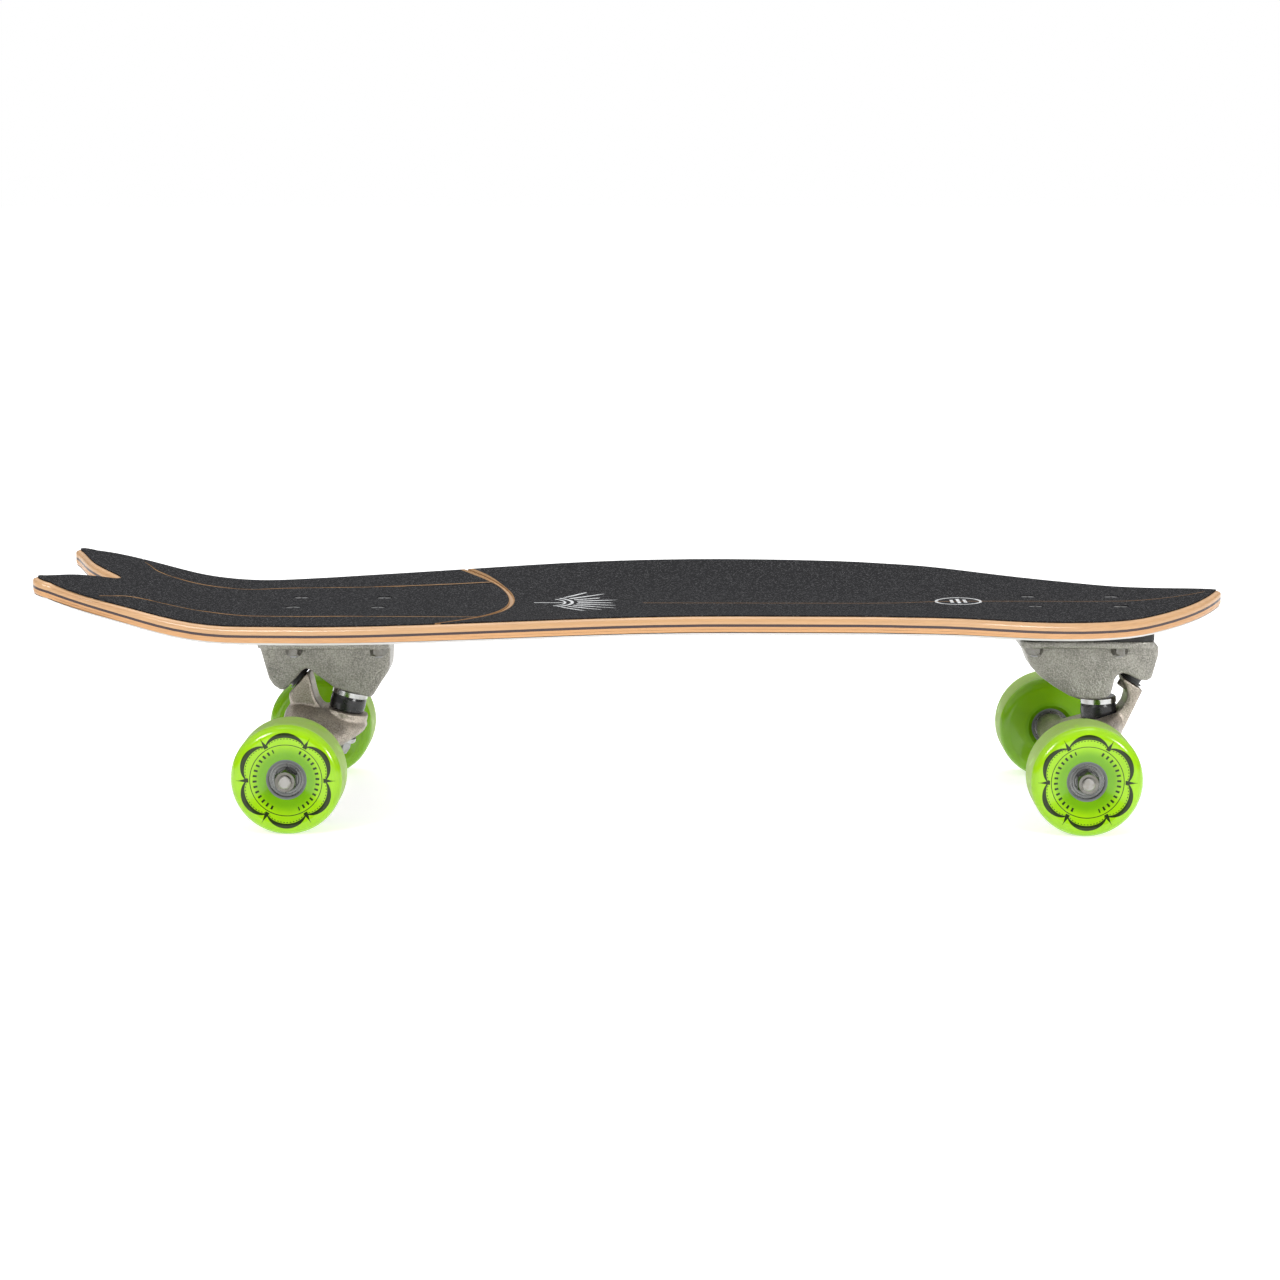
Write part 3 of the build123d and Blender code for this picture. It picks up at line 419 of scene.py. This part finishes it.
def make_grip_print():
    """Ink on the grip, a rayed half sun and a round badge, and the cuts that show the wood."""
    sun_x = -64.0
    badge_x = 206.0
    rays_start = 26.0
    fan_half_angle = 0.92
    tree, into, out = new_group(
        "Grip Print", (("Vector", "vector"),), (("Ink", "number"), ("Cut", "number")))
    x, y, _ = tree.parts(into["Vector"])
    x = tree.sum("MULTIPLY", x, 1000.0)
    y = tree.sum("MULTIPLY", y, 1000.0)

    def line(value, level, half_width, soft=0.25):
        return tree.group("Line", Value=value, Level=level, Half_Width=half_width, Soft=soft)["Mask"]

    def radius_from(centre_x):
        across = tree.sum("SUBTRACT", x, centre_x)
        square = tree.sum("ADD", tree.sum("MULTIPLY", across, across), tree.sum("MULTIPLY", y, y))
        return across, tree.sum("SQRT", square)

    across, radius = radius_from(sun_x)
    angle = tree.sum("ARCTAN2", y, across)
    fan = tree.sum("LESS_THAN", tree.sum("ABSOLUTE", angle), fan_half_angle)
    spokes = tree.sum("ABSOLUTE", tree.sum("SINE", tree.sum("MULTIPLY", angle, 14.0)))
    uneven = tree.noise(tree.add("ShaderNodeCombineXYZ", {"X": angle}).outputs[0], 5.5, 2.0)
    reach = tree.ease(uneven, 0.3, 0.7, 40.0, 57.0)
    thin = tree.ease(radius, rays_start, 57.0, 0.62, 0.12)
    rays = tree.sum("LESS_THAN", spokes, thin)
    rays = tree.sum("MULTIPLY", rays, tree.sum("GREATER_THAN", radius, rays_start))
    rays = tree.sum("MULTIPLY", rays, tree.sum("LESS_THAN", radius, reach))
    ink = tree.sum("MULTIPLY", rays, fan)
    for level, half_width in ((22.5, 0.9), (18.0, 0.55)):
        arc = tree.sum("MULTIPLY", line(radius, level, half_width), fan)
        ink = tree.sum("MAXIMUM", ink, arc)
    stem = tree.sum("MULTIPLY", line(y, 0.0, 0.7), tree.sum("LESS_THAN", radius, 18.0))
    stem = tree.sum("MULTIPLY", stem, tree.sum("GREATER_THAN", x, -66.0))
    ink = tree.sum("MAXIMUM", ink, stem)

    across, radius = radius_from(badge_x)
    badge = line(radius, 14.2, 0.75)
    for level, half_length in ((-4.2, 6.0), (0.0, 9.0), (4.2, 6.0)):
        bar = tree.sum("MULTIPLY", line(across, level, 0.95), line(y, 0.0, half_length))
        badge = tree.sum("MAXIMUM", badge, bar)
    tree.feed(out["Ink"], tree.sum("MAXIMUM", ink, badge))
    cut = tree.sum("MULTIPLY", line(y, 0.0, 0.28), tree.ease(x, 3.0, 5.0))
    cut = tree.sum("MULTIPLY", cut, tree.ease(x, 362.0, 364.0, 1.0, 0.0))

    bow = tree.sum("MULTIPLY", tree.sum("MULTIPLY", y, y), ARCH_BOW)
    from_arch = tree.sum("ADD", x, tree.sum("ADD", bow, ARCH_FRONT))
    arch = line(from_arch, 0.0, tree.ease(y, 55.0, 112.0, 1.7, 4.6))
    tip_x, tip_width = TAIL_SEAM[0]
    front_x, front_width = TAIL_SEAM[-1]
    seam = tree.add("ShaderNodeFloatCurve", {"Value": tree.ratio(x, tip_x, front_x)})
    curve = seam.mapping.curves[0]
    for along, half_width in TAIL_SEAM[1:-1]:
        curve.points.new((along - tip_x) / (front_x - tip_x), half_width / tip_width)
    curve.points[0].location = (0.0, 1.0)
    curve.points[-1].location = (1.0, front_width / tip_width)
    seam.mapping.update()
    width = tree.sum("MULTIPLY", seam.outputs[0], tip_width)
    side = line(tree.sum("ABSOLUTE", y), width, 0.9)
    side = tree.sum("MULTIPLY", side, tree.sum("LESS_THAN", from_arch, 0.0))
    side = tree.sum("MULTIPLY", side, tree.sum("GREATER_THAN", x, -330.0))
    for more in (arch, side):
        cut = tree.sum("MAXIMUM", cut, more)
    tree.feed(out["Cut"], cut)


def make_effects():
    """All the shared groups, in the order they use each other."""
    for make in (make_wood_grain, make_cast_skin, make_handling, make_polar, make_line,
                 make_wheel_print, make_grip_print):
        make()


# ---------------------------------------------------------------- materials

def make_wood(name, light, dark, gloss=0.34):
    """Lacquered maple whose fibres run along the board."""
    material, tree, shader, where = new_material(name, Coat_Weight=0.35, Coat_Roughness=0.12)
    grain = tree.group("Wood Grain", Vector=where, Light=opaque(light), Dark=opaque(dark))
    tree.feed(shader["Base Color"], grain["Color"])
    tree.feed(shader["Roughness"], tree.ease(grain["Streak"], 0.0, 1.0, gloss, gloss + 0.16))
    tree.feed(shader["Normal"], tree.bump(grain["Height"], 0.00001, 0.25))
    return material


def make_paint(colour):
    """Thin paint under the deck, with the grain telegraphing through."""
    material, tree, shader, where = new_material("Painted Maple", Coat_Weight=0.4, Coat_Roughness=0.2)
    dull = tuple(0.86 * c for c in colour)
    grain = tree.group("Wood Grain", Vector=where, Light=opaque(colour), Dark=opaque(dull))
    marks = tree.group("Handling", Vector=where, Smooth=0.30, Rough=0.42)
    tree.feed(shader["Base Color"], grain["Color"])
    tree.feed(shader["Roughness"], marks["Roughness"])
    tree.feed(shader["Normal"], tree.bump(grain["Height"], 0.00001, 0.25))
    return material


def make_grip(deck):
    """Black grit bonded to a sheet, with painted shade between the grains, printed ink and fine cuts that
    show the wood.
    """
    material, tree, shader, where = new_material("Grip Grit", Specular_IOR_Level=0.12)
    distance, colour = tree.cells(where, 1500.0)
    grain = tree.parts(colour)[0]
    glint = tree.sum("GREATER_THAN", grain, 0.86)
    clump = tree.noise(where, 480.0, 3.0, 0.6)
    clumped = tree.ease(clump, 0.3, 0.7, 0.55, 1.0)
    # Painted shade: each grain is paler at its middle and darker out towards its neighbours, as the shade
    # between grains, over a random clumped tone.
    tone = tree.sum("MULTIPLY", clumped, tree.ease(distance, 0.1, 0.7, 1.0, 0.45))
    dark = opaque(tuple(0.4 * c for c in deck.grip))
    pale = opaque(tuple(2.2 * c for c in deck.grip))
    base = tree.blend(tone, dark, pale)
    base = tree.blend(tree.sum("MULTIPLY", glint, 0.5), base, (0.085, 0.085, 0.09, 1.0))
    printed = tree.group("Grip Print", Vector=where)
    worn = tree.ease(tree.noise(where, 900.0, 2.0), 0.30, 0.42)
    base = tree.blend(tree.sum("MULTIPLY", printed["Ink"], worn), base, opaque(deck.ink))
    base = tree.blend(printed["Cut"], base, opaque(tuple(0.55 * c for c in deck.maple)))
    tree.feed(shader["Base Color"], base)
    rough = tree.ease(glint, 0.0, 1.0, 0.78, 0.38)
    tree.feed(shader["Roughness"], rough)
    grit = tree.sum("ADD", tree.ease(distance, 0.0, 0.8, 1.0, 0.0), clump)
    height = tree.sum("SUBTRACT", grit, printed["Cut"])
    tree.feed(shader["Normal"], tree.bump(height, 0.0003, 0.8))
    return material


def make_casting(name, colour, metallic=0.8):
    """Raw tumbled aluminium."""
    material, tree, shader, where = new_material(name, Metallic=metallic)
    skin = tree.group("Cast Skin", Vector=where, Base=opaque(colour))
    tree.feed(shader["Base Color"], skin["Color"])
    tree.feed(shader["Roughness"], skin["Roughness"])
    tree.feed(shader["Normal"], tree.bump(skin["Height"], 0.00045, 0.9))
    return material


def make_metal(name, colour, smooth, rough, tint=(0.62, 0.60, 0.52)):
    """Plated or ground steel with a faint bloom and scuffs."""
    material, tree, shader, where = new_material(name, Metallic=1.0)
    marks = tree.group("Handling", Vector=where, Smooth=smooth, Rough=rough)
    bloom = tree.ease(tree.noise(where, 240.0, 2.0), 0.42, 0.66, 0.0, 0.5)
    base = tree.blend(bloom, opaque(colour), opaque(tuple(c * t for c, t in zip(colour, tint))))
    tree.feed(shader["Base Color"], base)
    tree.feed(shader["Roughness"], marks["Roughness"])
    tree.feed(shader["Normal"], tree.bump(marks["Height"], 0.00002, 0.5))
    return material


def make_moulding(name, colour, smooth, rough, grain=0.00003):
    """Moulded rubber, plastic or urethane."""
    material, tree, shader, where = new_material(name, Specular_IOR_Level=0.5)
    marks = tree.group("Handling", Vector=where, Smooth=smooth, Rough=rough)
    pale = tuple(min(1.0, 1.9 * c + 0.004) for c in colour)
    base = tree.blend(tree.sum("MULTIPLY", marks["Scuff"], 0.5), opaque(colour), opaque(pale))
    tree.feed(shader["Base Color"], base)
    tree.feed(shader["Roughness"], marks["Roughness"])
    tree.feed(shader["Normal"], tree.bump(marks["Height"], grain, 0.7))
    return material


def centred(tree, where, centre, side):
    """Coordinates from a wheel's centre, with Y pointing away from the board."""
    inputs = {"Vector": where, "Location": centre, "Scale": (1.0, side, 1.0)}
    return tree.add("ShaderNodeMapping", inputs, vector_type="TEXTURE").outputs[0]


def make_tyre(name, centre, side, wheels):
    """Cast urethane: glossy printed faces, painted shade near the core and on the far face, and a ground
    tread.
    """
    material, tree, shader, where = new_material(
        name, Subsurface_Weight=0.10, Subsurface_Scale=0.003, Coat_Roughness=0.05, Specular_IOR_Level=0.3,
        Subsurface_Radius=(0.5, 1.0, 0.15))
    local = centred(tree, where, centre, side)
    radius, angle = tree.group("Polar", Vector=local)
    _, y, _ = tree.parts(local)
    # Painted shade: the tyre is darkened near its core, for the look of the core through the translucent
    # urethane. It is also darkened on its far face, which faces the board.
    painted_core_shade = tree.ease(radius, 15.5, 22.5, 1.0, 0.0)
    painted_far_face_shade = tree.ease(y, -0.016, -0.010, 0.75, 0.0)
    painted_core_shade = tree.sum("MAXIMUM", painted_core_shade, painted_far_face_shade)
    cloud = tree.noise(where, 60.0, 3.0)
    lively = tree.blend(tree.ease(cloud, 0.3, 0.7, 0.0, 0.18), opaque(wheels.face), opaque(wheels.depth))
    base = tree.blend(tree.sum("MULTIPLY", painted_core_shade, 0.85), lively, opaque(wheels.depth))
    tread = tree.ease(radius, 34.0, 34.4)
    around = tree.add("ShaderNodeCombineXYZ", {"X": tree.sum("MULTIPLY", angle, 33.0), "Y": y}).outputs[0]
    turned = tree.noise(tree.stretch(around, (0.05, 2600.0, 1.0)), 1.0, 3.0)
    polished = tree.ease(tree.noise(tree.stretch(around, (0.09, 70.0, 1.0)), 1.0, 3.0), 0.55, 0.68)
    ground = tree.blend(tree.ease(turned, 0.35, 0.65, 0.0, 0.35), opaque(wheels.tread), opaque(wheels.face))
    ground = tree.blend(tree.sum("MULTIPLY", polished, 0.75), ground, opaque(wheels.face))
    base = tree.blend(tread, base, ground)
    ink = tree.group("Wheel Print", Vector=local)["Mask"]
    base = tree.blend(tree.sum("MULTIPLY", ink, 0.96), base, opaque(wheels.ink))
    tree.feed(shader["Base Color"], base)
    ground_rough = tree.ease(turned, 0.3, 0.7, 0.50, 0.66)
    matte = tree.sum("SUBTRACT", ground_rough, tree.sum("MULTIPLY", polished, 0.22))
    shiny = tree.ease(cloud, 0.3, 0.7, 0.16, 0.24)
    rough = tree.add("ShaderNodeMix", data_type="FLOAT")
    for socket, value in ((0, tread), (2, shiny), (3, matte)):
        tree.feed(rough.inputs[socket], value)
    tree.feed(shader["Roughness"], rough.outputs[0])
    glossy = tree.sum("SUBTRACT", 0.4, tree.sum("MULTIPLY", ink, 0.3))
    tree.feed(shader["Coat Weight"], tree.sum("MULTIPLY", glossy, tree.sum("SUBTRACT", 1.0, tread)))
    grind = tree.sum("MULTIPLY", tree.sum("ADD", turned, tree.noise(where, 1700.0, 2.0)), tread)
    height = tree.sum("ADD", grind, tree.sum("MULTIPLY", ink, 0.25))
    tree.feed(shader["Normal"], tree.bump(height, 0.00012, 0.6))
    return material


def make_turned(name, centre, side, colour, metallic, rings, smooth, rough):
    """Plastic or pressed steel with fine rings turned about the axle."""
    material, tree, shader, where = new_material(name, Metallic=metallic)
    local = centred(tree, where, centre, side)
    radius, _ = tree.group("Polar", Vector=local)
    marks = tree.group("Handling", Vector=where, Smooth=smooth, Rough=rough)
    wave = tree.sum("SINE", tree.sum("MULTIPLY", radius, rings))
    shade = tuple(0.62 * c for c in colour)
    tone = tree.ease(wave, -1.0, 1.0, 0.0, 0.6)
    tree.feed(shader["Base Color"], tree.blend(tone, opaque(colour), opaque(shade)))
    tree.feed(shader["Roughness"], marks["Roughness"])
    height = tree.sum("ADD", wave, marks["Height"])
    tree.feed(shader["Normal"], tree.bump(height, 0.00008, 0.6))
    return material


def make_sky(strength):
    """White studio, bright overhead and dimmer toward the level, which metal and gloss mirror."""
    world = bpy.data.worlds.new("Studio Light")
    world.use_nodes = True
    world.node_tree.nodes.clear()
    tree = Tree(world.node_tree)
    way = tree.add("ShaderNodeTexCoord").outputs["Generated"]
    _, y, z = tree.parts(way)
    level = tree.sum("MULTIPLY", tree.ease(z, -0.05, 0.75, 0.10, 1.0), tree.ease(y, -0.9, 0.5, 0.45, 1.0))
    seen = tree.add("ShaderNodeLightPath").outputs["Is Camera Ray"]
    dim = tree.sum("MULTIPLY", level, tree.sum("SUBTRACT", 1.0, seen))
    power = tree.sum("MULTIPLY", tree.sum("ADD", dim, seen), strength)
    sky = tree.add("ShaderNodeBackground", {"Color": (1.0, 1.0, 1.0, 1.0), "Strength": power})
    tree.add("ShaderNodeOutputWorld", {"Surface": sky.outputs[0]})
    return world


# ---------------------------------------------------------------- working on meshes

def select_only(piece):
    """Make one object the selected and active one."""
    bpy.ops.object.select_all(action="DESELECT")
    piece.select_set(True)
    bpy.context.view_layer.objects.active = piece


def copy_of_node(node, name):
    """A new object with its own merged copy of a node's mesh, selected on its own."""
    mesh = NODES[node].data.copy()
    mesh.name = name
    piece = bpy.data.objects.new(name, mesh)
    bpy.context.collection.objects.link(piece)
    select_only(piece)
    bpy.ops.object.mode_set(mode="EDIT")
    bpy.ops.mesh.select_all(action="SELECT")
    bpy.ops.mesh.remove_doubles(threshold=0.00001)
    bpy.ops.object.mode_set(mode="OBJECT")
    bpy.ops.mesh.customdata_custom_splitnormals_clear()
    return piece


def finish_piece(piece, node, body, material, angle=35.0):
    """Give a finished copy its material and its body, and hide the node it stands for."""
    select_only(piece)
    bpy.ops.object.shade_smooth_by_angle(angle=math.radians(angle))
    piece.data.materials.clear()
    piece.data.materials.append(material)
    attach(piece, body)
    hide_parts(node)


def dress(node, material):
    """Give a node of the solid model a material in each of its slots."""
    for place in NODES[node].material_slots:
        place.material = material


def bolt_axes():
    """Where the mounting bolts stand, from the boxes of the bolt nodes."""
    axes = []
    for truck in TRUCKS:
        low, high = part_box(truck + "_mounting_bolts")
        for x in (low.x + BOLT_HEAD_RADIUS, high.x - BOLT_HEAD_RADIUS):
            for y in (low.y + BOLT_HEAD_RADIUS, high.y - BOLT_HEAD_RADIUS):
                axes.append(Vector((x, y)))
    return axes


def rim_moves(mesh, axes):
    """For each vertex on the outer rim of the selected sheet, the way that points off the board."""
    ways = {}
    for edge in mesh.edges:
        chosen = [face for face in edge.link_faces if face.select]
        if len(chosen) != 1:
            continue
        middle = (edge.verts[0].co + edge.verts[1].co) / 2
        if min((middle.xy - axis).length for axis in axes) < CLEAR_OF_BOLTS:
            continue
        along = (edge.verts[1].co - edge.verts[0].co).xy
        across = Vector((along.y, -along.x))
        if across.dot(middle.xy - chosen[0].calc_center_median().xy) < 0:
            across = -across
        for vertex in edge.verts:
            ways[vertex] = ways.get(vertex, Vector((0, 0))) + across
    return {vertex: way.normalized() for vertex, way in ways.items()}


def push_rim(piece, axes, distance, on_slope=False):
    """Move the selected sheet's rim in or out, level or on the sheet's own slope."""
    mesh = bmesh.from_edit_mesh(piece.data)
    mesh.normal_update()
    for vertex, way in rim_moves(mesh, axes).items():
        lean = vertex.normal if abs(vertex.normal.z) > 0.5 else Vector((0, 0, 1))
        rise = -(lean.x * way.x + lean.y * way.y) / lean.z if on_slope else 0.0
        vertex.co += Vector((way.x, way.y, rise)) * distance
    bmesh.update_edit_mesh(piece.data)


def round_ply(node, stack_side, first, last, cad_inset, steps, radius, axes):
    """A ply whose rim follows the rail's round, extruded in steps from its own outer sheet."""
    piece = copy_of_node(node, node + "_rounded")
    bpy.ops.object.mode_set(mode="EDIT")
    mesh = bmesh.from_edit_mesh(piece.data)
    for face in mesh.faces:
        face.select = face.normal.z * stack_side < SHEET_FACING
    mesh.select_flush(True)
    for face in mesh.faces:
        face.select = face.normal.z * stack_side < SHEET_FACING
    bmesh.update_edit_mesh(piece.data)
    bpy.ops.mesh.delete(type="FACE")
    bpy.ops.mesh.select_all(action="SELECT")

    start = math.acos(max(0.0, 1 - first * PLY_THICKNESS / radius))
    end = math.acos(max(0.0, 1 - last * PLY_THICKNESS / radius))
    inset = radius * (1 - math.sin(start))
    depth = first * PLY_THICKNESS
    push_rim(piece, axes, cad_inset - inset, on_slope=True)
    for step in range(1, steps + 1):
        angle = start + (end - start) * step / steps
        new_inset = radius * (1 - math.sin(angle))
        new_depth = radius * (1 - math.cos(angle)) if step < steps else last * PLY_THICKNESS
        drop = (new_depth - depth) * -stack_side
        bpy.ops.mesh.extrude_region_move(TRANSFORM_OT_translate={"value": (0, 0, drop)})
        push_rim(piece, axes, inset - new_inset)
        inset = new_inset
        depth = new_depth
    bpy.ops.mesh.select_all(action="SELECT")
    bpy.ops.mesh.normals_make_consistent(inside=False)
    bpy.ops.object.mode_set(mode="OBJECT")
    return piece


def soften_casting(node, voxel, rounding):
    """A casting with its corners rounded over as a sand or die casting has them."""
    piece = copy_of_node(node, node + "_cast")
    remesh = piece.modifiers.new("Even Skin", "REMESH")
    remesh.mode = "VOXEL"
    remesh.voxel_size = voxel
    remesh.adaptivity = 0.0
    bpy.ops.object.modifier_apply(modifier=remesh.name)
    smooth = piece.modifiers.new("Cast Corners", "SMOOTH")
    smooth.factor = 0.5
    smooth.iterations = rounding
    bpy.ops.object.modifier_apply(modifier=smooth.name)
    return piece


# ---------------------------------------------------------------- operators

class SKATE_OT_effects(bpy.types.Operator):
    """Make the shared node groups."""

    bl_idname = "skate.effects"
    bl_label = "Make Surface Effects"

    def execute(self, context):
        make_effects()
        return {"FINISHED"}


class SKATE_OT_deck(bpy.types.Operator):
    """Round the rail of the outer plies and lacquer the stack."""

    bl_idname = "skate.deck"
    bl_label = "Finish Deck"

    def execute(self, context):
        deck = context.scene.skate_deck
        upper = make_wood("Upper Maple", deck.maple, tuple(0.58 * c for c in deck.maple))
        lower = make_wood("Lower Maple", deck.lower_maple, tuple(0.55 * c for c in deck.lower_maple))
        dyed = make_wood("Dyed Maple", deck.dyed, tuple(0.4 * c for c in deck.dyed))
        paint = make_paint(deck.underside)
        finishes = {1: upper, 2: upper, 3: upper, 4: dyed, 5: lower, 6: lower, 7: paint}
        for number, material in finishes.items():
            dress(f"deck_ply_{number}", material)
        axes = bolt_axes()
        for node, stack_side, first, last, cad_inset, steps in ROUNDED_PLIES:
            piece = round_ply(node, stack_side, first, last, cad_inset, steps, deck.rail_radius, axes)
            finish_piece(piece, node, "deck", finishes[int(node[-1])])
        return {"FINISHED"}


class SKATE_OT_grip(bpy.types.Operator):
    """Cover the four grip pieces in grit and ink."""

    bl_idname = "skate.grip"
    bl_label = "Finish Grip"

    def execute(self, context):
        material = make_grip(context.scene.skate_deck)
        for node in ("grip_main", "grip_tail_centre", "grip_tail_left", "grip_tail_right"):
            dress(node, material)
        return {"FINISHED"}


class SKATE_OT_castings(bpy.types.Operator):
    """Round and finish the cast baseplates and hangers."""

    bl_idname = "skate.castings"
    bl_label = "Finish Castings"

    def execute(self, context):
        trucks = context.scene.skate_trucks
        materials = {
            "baseplate": make_casting("Baseplate Casting", trucks.baseplate),
            "hanger": make_casting("Hanger Casting", trucks.hanger),
        }
        for truck in TRUCKS:
            for kind, body in (("baseplate", "deck"), ("hanger", truck + "_truck")):
                node = f"{truck}_{kind}"
                piece = soften_casting(node, trucks.cast_voxel, trucks.cast_rounding)
                finish_piece(piece, node, body, materials[kind], 60.0)
        return {"FINISHED"}


class SKATE_OT_hardware(bpy.types.Operator):
    """Finish the bolts, nuts, washers, axles and spacers."""

    bl_idname = "skate.hardware"
    bl_label = "Finish Hardware"

    def execute(self, context):
        trucks = context.scene.skate_trucks
        zinc = make_metal("Zinc Plate", trucks.zinc, 0.24, 0.38)
        bright = make_metal("Bright Zinc", tuple(min(1.0, 1.3 * c) for c in trucks.zinc), 0.10, 0.20)
        axle = make_metal("Axle Steel", trucks.axle, 0.26, 0.38)
        dull = make_metal("Bolt Steel", trucks.bolt, 0.30, 0.42)
        nuts = make_metal("Dark Zinc", trucks.nut, 0.22, 0.34)
        for truck in TRUCKS:
            for kind in ("kingpin", "kingpin_nut"):
                dress(f"{truck}_{kind}", zinc)
            for kind in ("bushing_washers", "axle_washers"):
                dress(f"{truck}_{kind}", bright)
            for kind in ("axle_nuts", "mounting_nuts"):
                dress(f"{truck}_{kind}", nuts)
            for kind in ("axle", "inner_races", "bearing_spacers"):
                dress(f"{truck}_{kind}", axle)
            dress(f"{truck}_mounting_bolts", dull)
        return {"FINISHED"}


class SKATE_OT_mouldings(bpy.types.Operator):
    """Finish the bushings, pivot cups and riser pads."""

    bl_idname = "skate.mouldings"
    bl_label = "Finish Mouldings"

    def execute(self, context):
        trucks = context.scene.skate_trucks
        urethane = make_moulding("Bushing Urethane", trucks.bushing, 0.20, 0.34)
        cup = make_moulding("Cup Plastic", trucks.cup, 0.34, 0.5)
        rubber = make_moulding("Riser Rubber", trucks.riser, 0.5, 0.68, 0.00008)
        for truck in TRUCKS:
            dress(truck + "_bushing_upper", urethane)
            dress(truck + "_bushing_lower", urethane)
            dress(truck + "_pivot_cup", cup)
            dress(truck + "_riser_pad", rubber)
        return {"FINISHED"}


class SKATE_OT_wheels(bpy.types.Operator):
    """Finish the tyres, cores and bearings of the four wheels."""

    bl_idname = "skate.wheels"
    bl_label = "Finish Wheels"

    def execute(self, context):
        wheels = context.scene.skate_wheels
        for truck in TRUCKS:
            for side in SIDES:
                wheel = f"{truck}_{side}"
                low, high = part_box(wheel + "_tyre")
                centre = tuple((low + high) / 2)
                out = 1.0 if side == "left" else -1.0
                title = wheel.replace("_", " ").title()
                dress(wheel + "_tyre", make_tyre(title + " Urethane", centre, out, wheels))
                core = make_turned(title + " Core", centre, out, wheels.core, 0.0, 2.4, 0.34, 0.46)
                shield = make_turned(title + " Shield", centre, out, wheels.shield, 0.85, 4.2, 0.22, 0.34)
                dress(wheel + "_core", core)
                dress(wheel + "_bearing_shells", shield)
                dress(wheel + "_bearing_balls", shield)
        return {"FINISHED"}


class SKATE_OT_stage(bpy.types.Operator):
    """Lay the pale floor, light it softly and set the camera."""

    bl_idname = "skate.stage"
    bl_label = "Build Studio"

    def execute(self, context):
        stage = context.scene.skate_stage
        bpy.ops.object.select_all(action="DESELECT")
        bpy.ops.mesh.primitive_plane_add(size=60.0, location=(0, 0, 0))
        floor = context.object
        floor.name = "studio_floor"
        bpy.ops.object.mode_set(mode="EDIT")
        bpy.ops.mesh.subdivide(number_cuts=3)
        bpy.ops.object.mode_set(mode="OBJECT")
        material, tree, shader, where = new_material("Studio White", Emission_Strength=0.5)
        speckle = tree.noise(where, 60.0, 2.0)
        tree.feed(shader["Base Color"], tree.blend(speckle, (0.84, 0.84, 0.84, 1), (0.88, 0.88, 0.88, 1)))
        tree.feed(shader["Emission Color"], tree.blend(speckle, (0.97, 0.97, 0.97, 1), (1.0, 1.0, 1.0, 1)))
        tree.feed(shader["Roughness"], tree.ease(speckle, 0.0, 1.0, 0.8, 0.95))
        floor.data.materials.append(material)
        context.scene.world = make_sky(stage.sky)

        lamps = (
            ("overhead", (0.0, 0.25, 1.8), (0, 0, 0), 1.5, 17.0),
            ("front_left", (-1.6, -2.1, 1.5), (0, 0, 0.06), 0.7, 36.0),
            ("front_right", (1.7, -1.7, 0.9), (0.15, 0, 0.06), 0.5, 26.0),
        )
        for name, place, target, size, power in lamps:
            aim = Vector(target) - Vector(place)
            turn = aim.to_track_quat("-Z", "Y").to_euler()
            bpy.ops.object.light_add(type="AREA", location=place, rotation=turn)
            lamp = context.object
            lamp.name = "softbox_" + name
            lamp.data.size = size
            lamp.data.energy = power

        turn = (math.pi / 2 - stage.camera_down, 0.0, stage.camera_turn)
        bpy.ops.object.camera_add(location=stage.camera_place, rotation=turn)
        camera = context.object
        camera.name = "studio_camera"
        camera.data.sensor_width = 36.0
        camera.data.lens = stage.lens
        context.scene.camera = camera
        context.scene.view_settings.view_transform = "Standard"
        return {"FINISHED"}


class SKATE_PT_panel(bpy.types.Panel):
    """Lists the steps that finish the skateboard."""

    bl_idname = "SKATE_PT_panel"
    bl_label = "Skateboard"
    bl_space_type = "VIEW_3D"
    bl_region_type = "UI"
    bl_category = "Skateboard"

    def draw(self, context):
        layout = self.layout
        for name in ("skate_deck", "skate_trucks", "skate_wheels", "skate_stage"):
            settings = getattr(context.scene, name)
            column = layout.column()
            for key in settings.bl_rna.properties.keys():
                if key not in ("rna_type", "name"):
                    column.prop(settings, key)
        for operator in OPERATORS:
            layout.operator(operator.bl_idname)


OPERATORS = (
    SKATE_OT_effects,
    SKATE_OT_deck,
    SKATE_OT_grip,
    SKATE_OT_castings,
    SKATE_OT_hardware,
    SKATE_OT_mouldings,
    SKATE_OT_wheels,
    SKATE_OT_stage,
)
SETTINGS = {
    "skate_deck": DeckSettings,
    "skate_trucks": TruckSettings,
    "skate_wheels": WheelSettings,
    "skate_stage": StageSettings,
}


def register():
    """Add the settings, operators and panel."""
    for name, settings in SETTINGS.items():
        bpy.utils.register_class(settings)
        setattr(bpy.types.Scene, name, bpy.props.PointerProperty(type=settings))
    for operator in OPERATORS:
        bpy.utils.register_class(operator)
    bpy.utils.register_class(SKATE_PT_panel)


def unregister():
    """Take the settings, operators and panel away again."""
    bpy.utils.unregister_class(SKATE_PT_panel)
    for operator in reversed(OPERATORS):
        bpy.utils.unregister_class(operator)
    for name, settings in SETTINGS.items():
        delattr(bpy.types.Scene, name)
        bpy.utils.unregister_class(settings)


def main():
    """Build everything in order."""
    register()
    bpy.ops.skate.effects()
    bpy.ops.skate.deck()
    bpy.ops.skate.grip()
    bpy.ops.skate.castings()
    bpy.ops.skate.hardware()
    bpy.ops.skate.mouldings()
    bpy.ops.skate.wheels()
    bpy.ops.skate.stage()


if __name__ == "__main__":
    main()
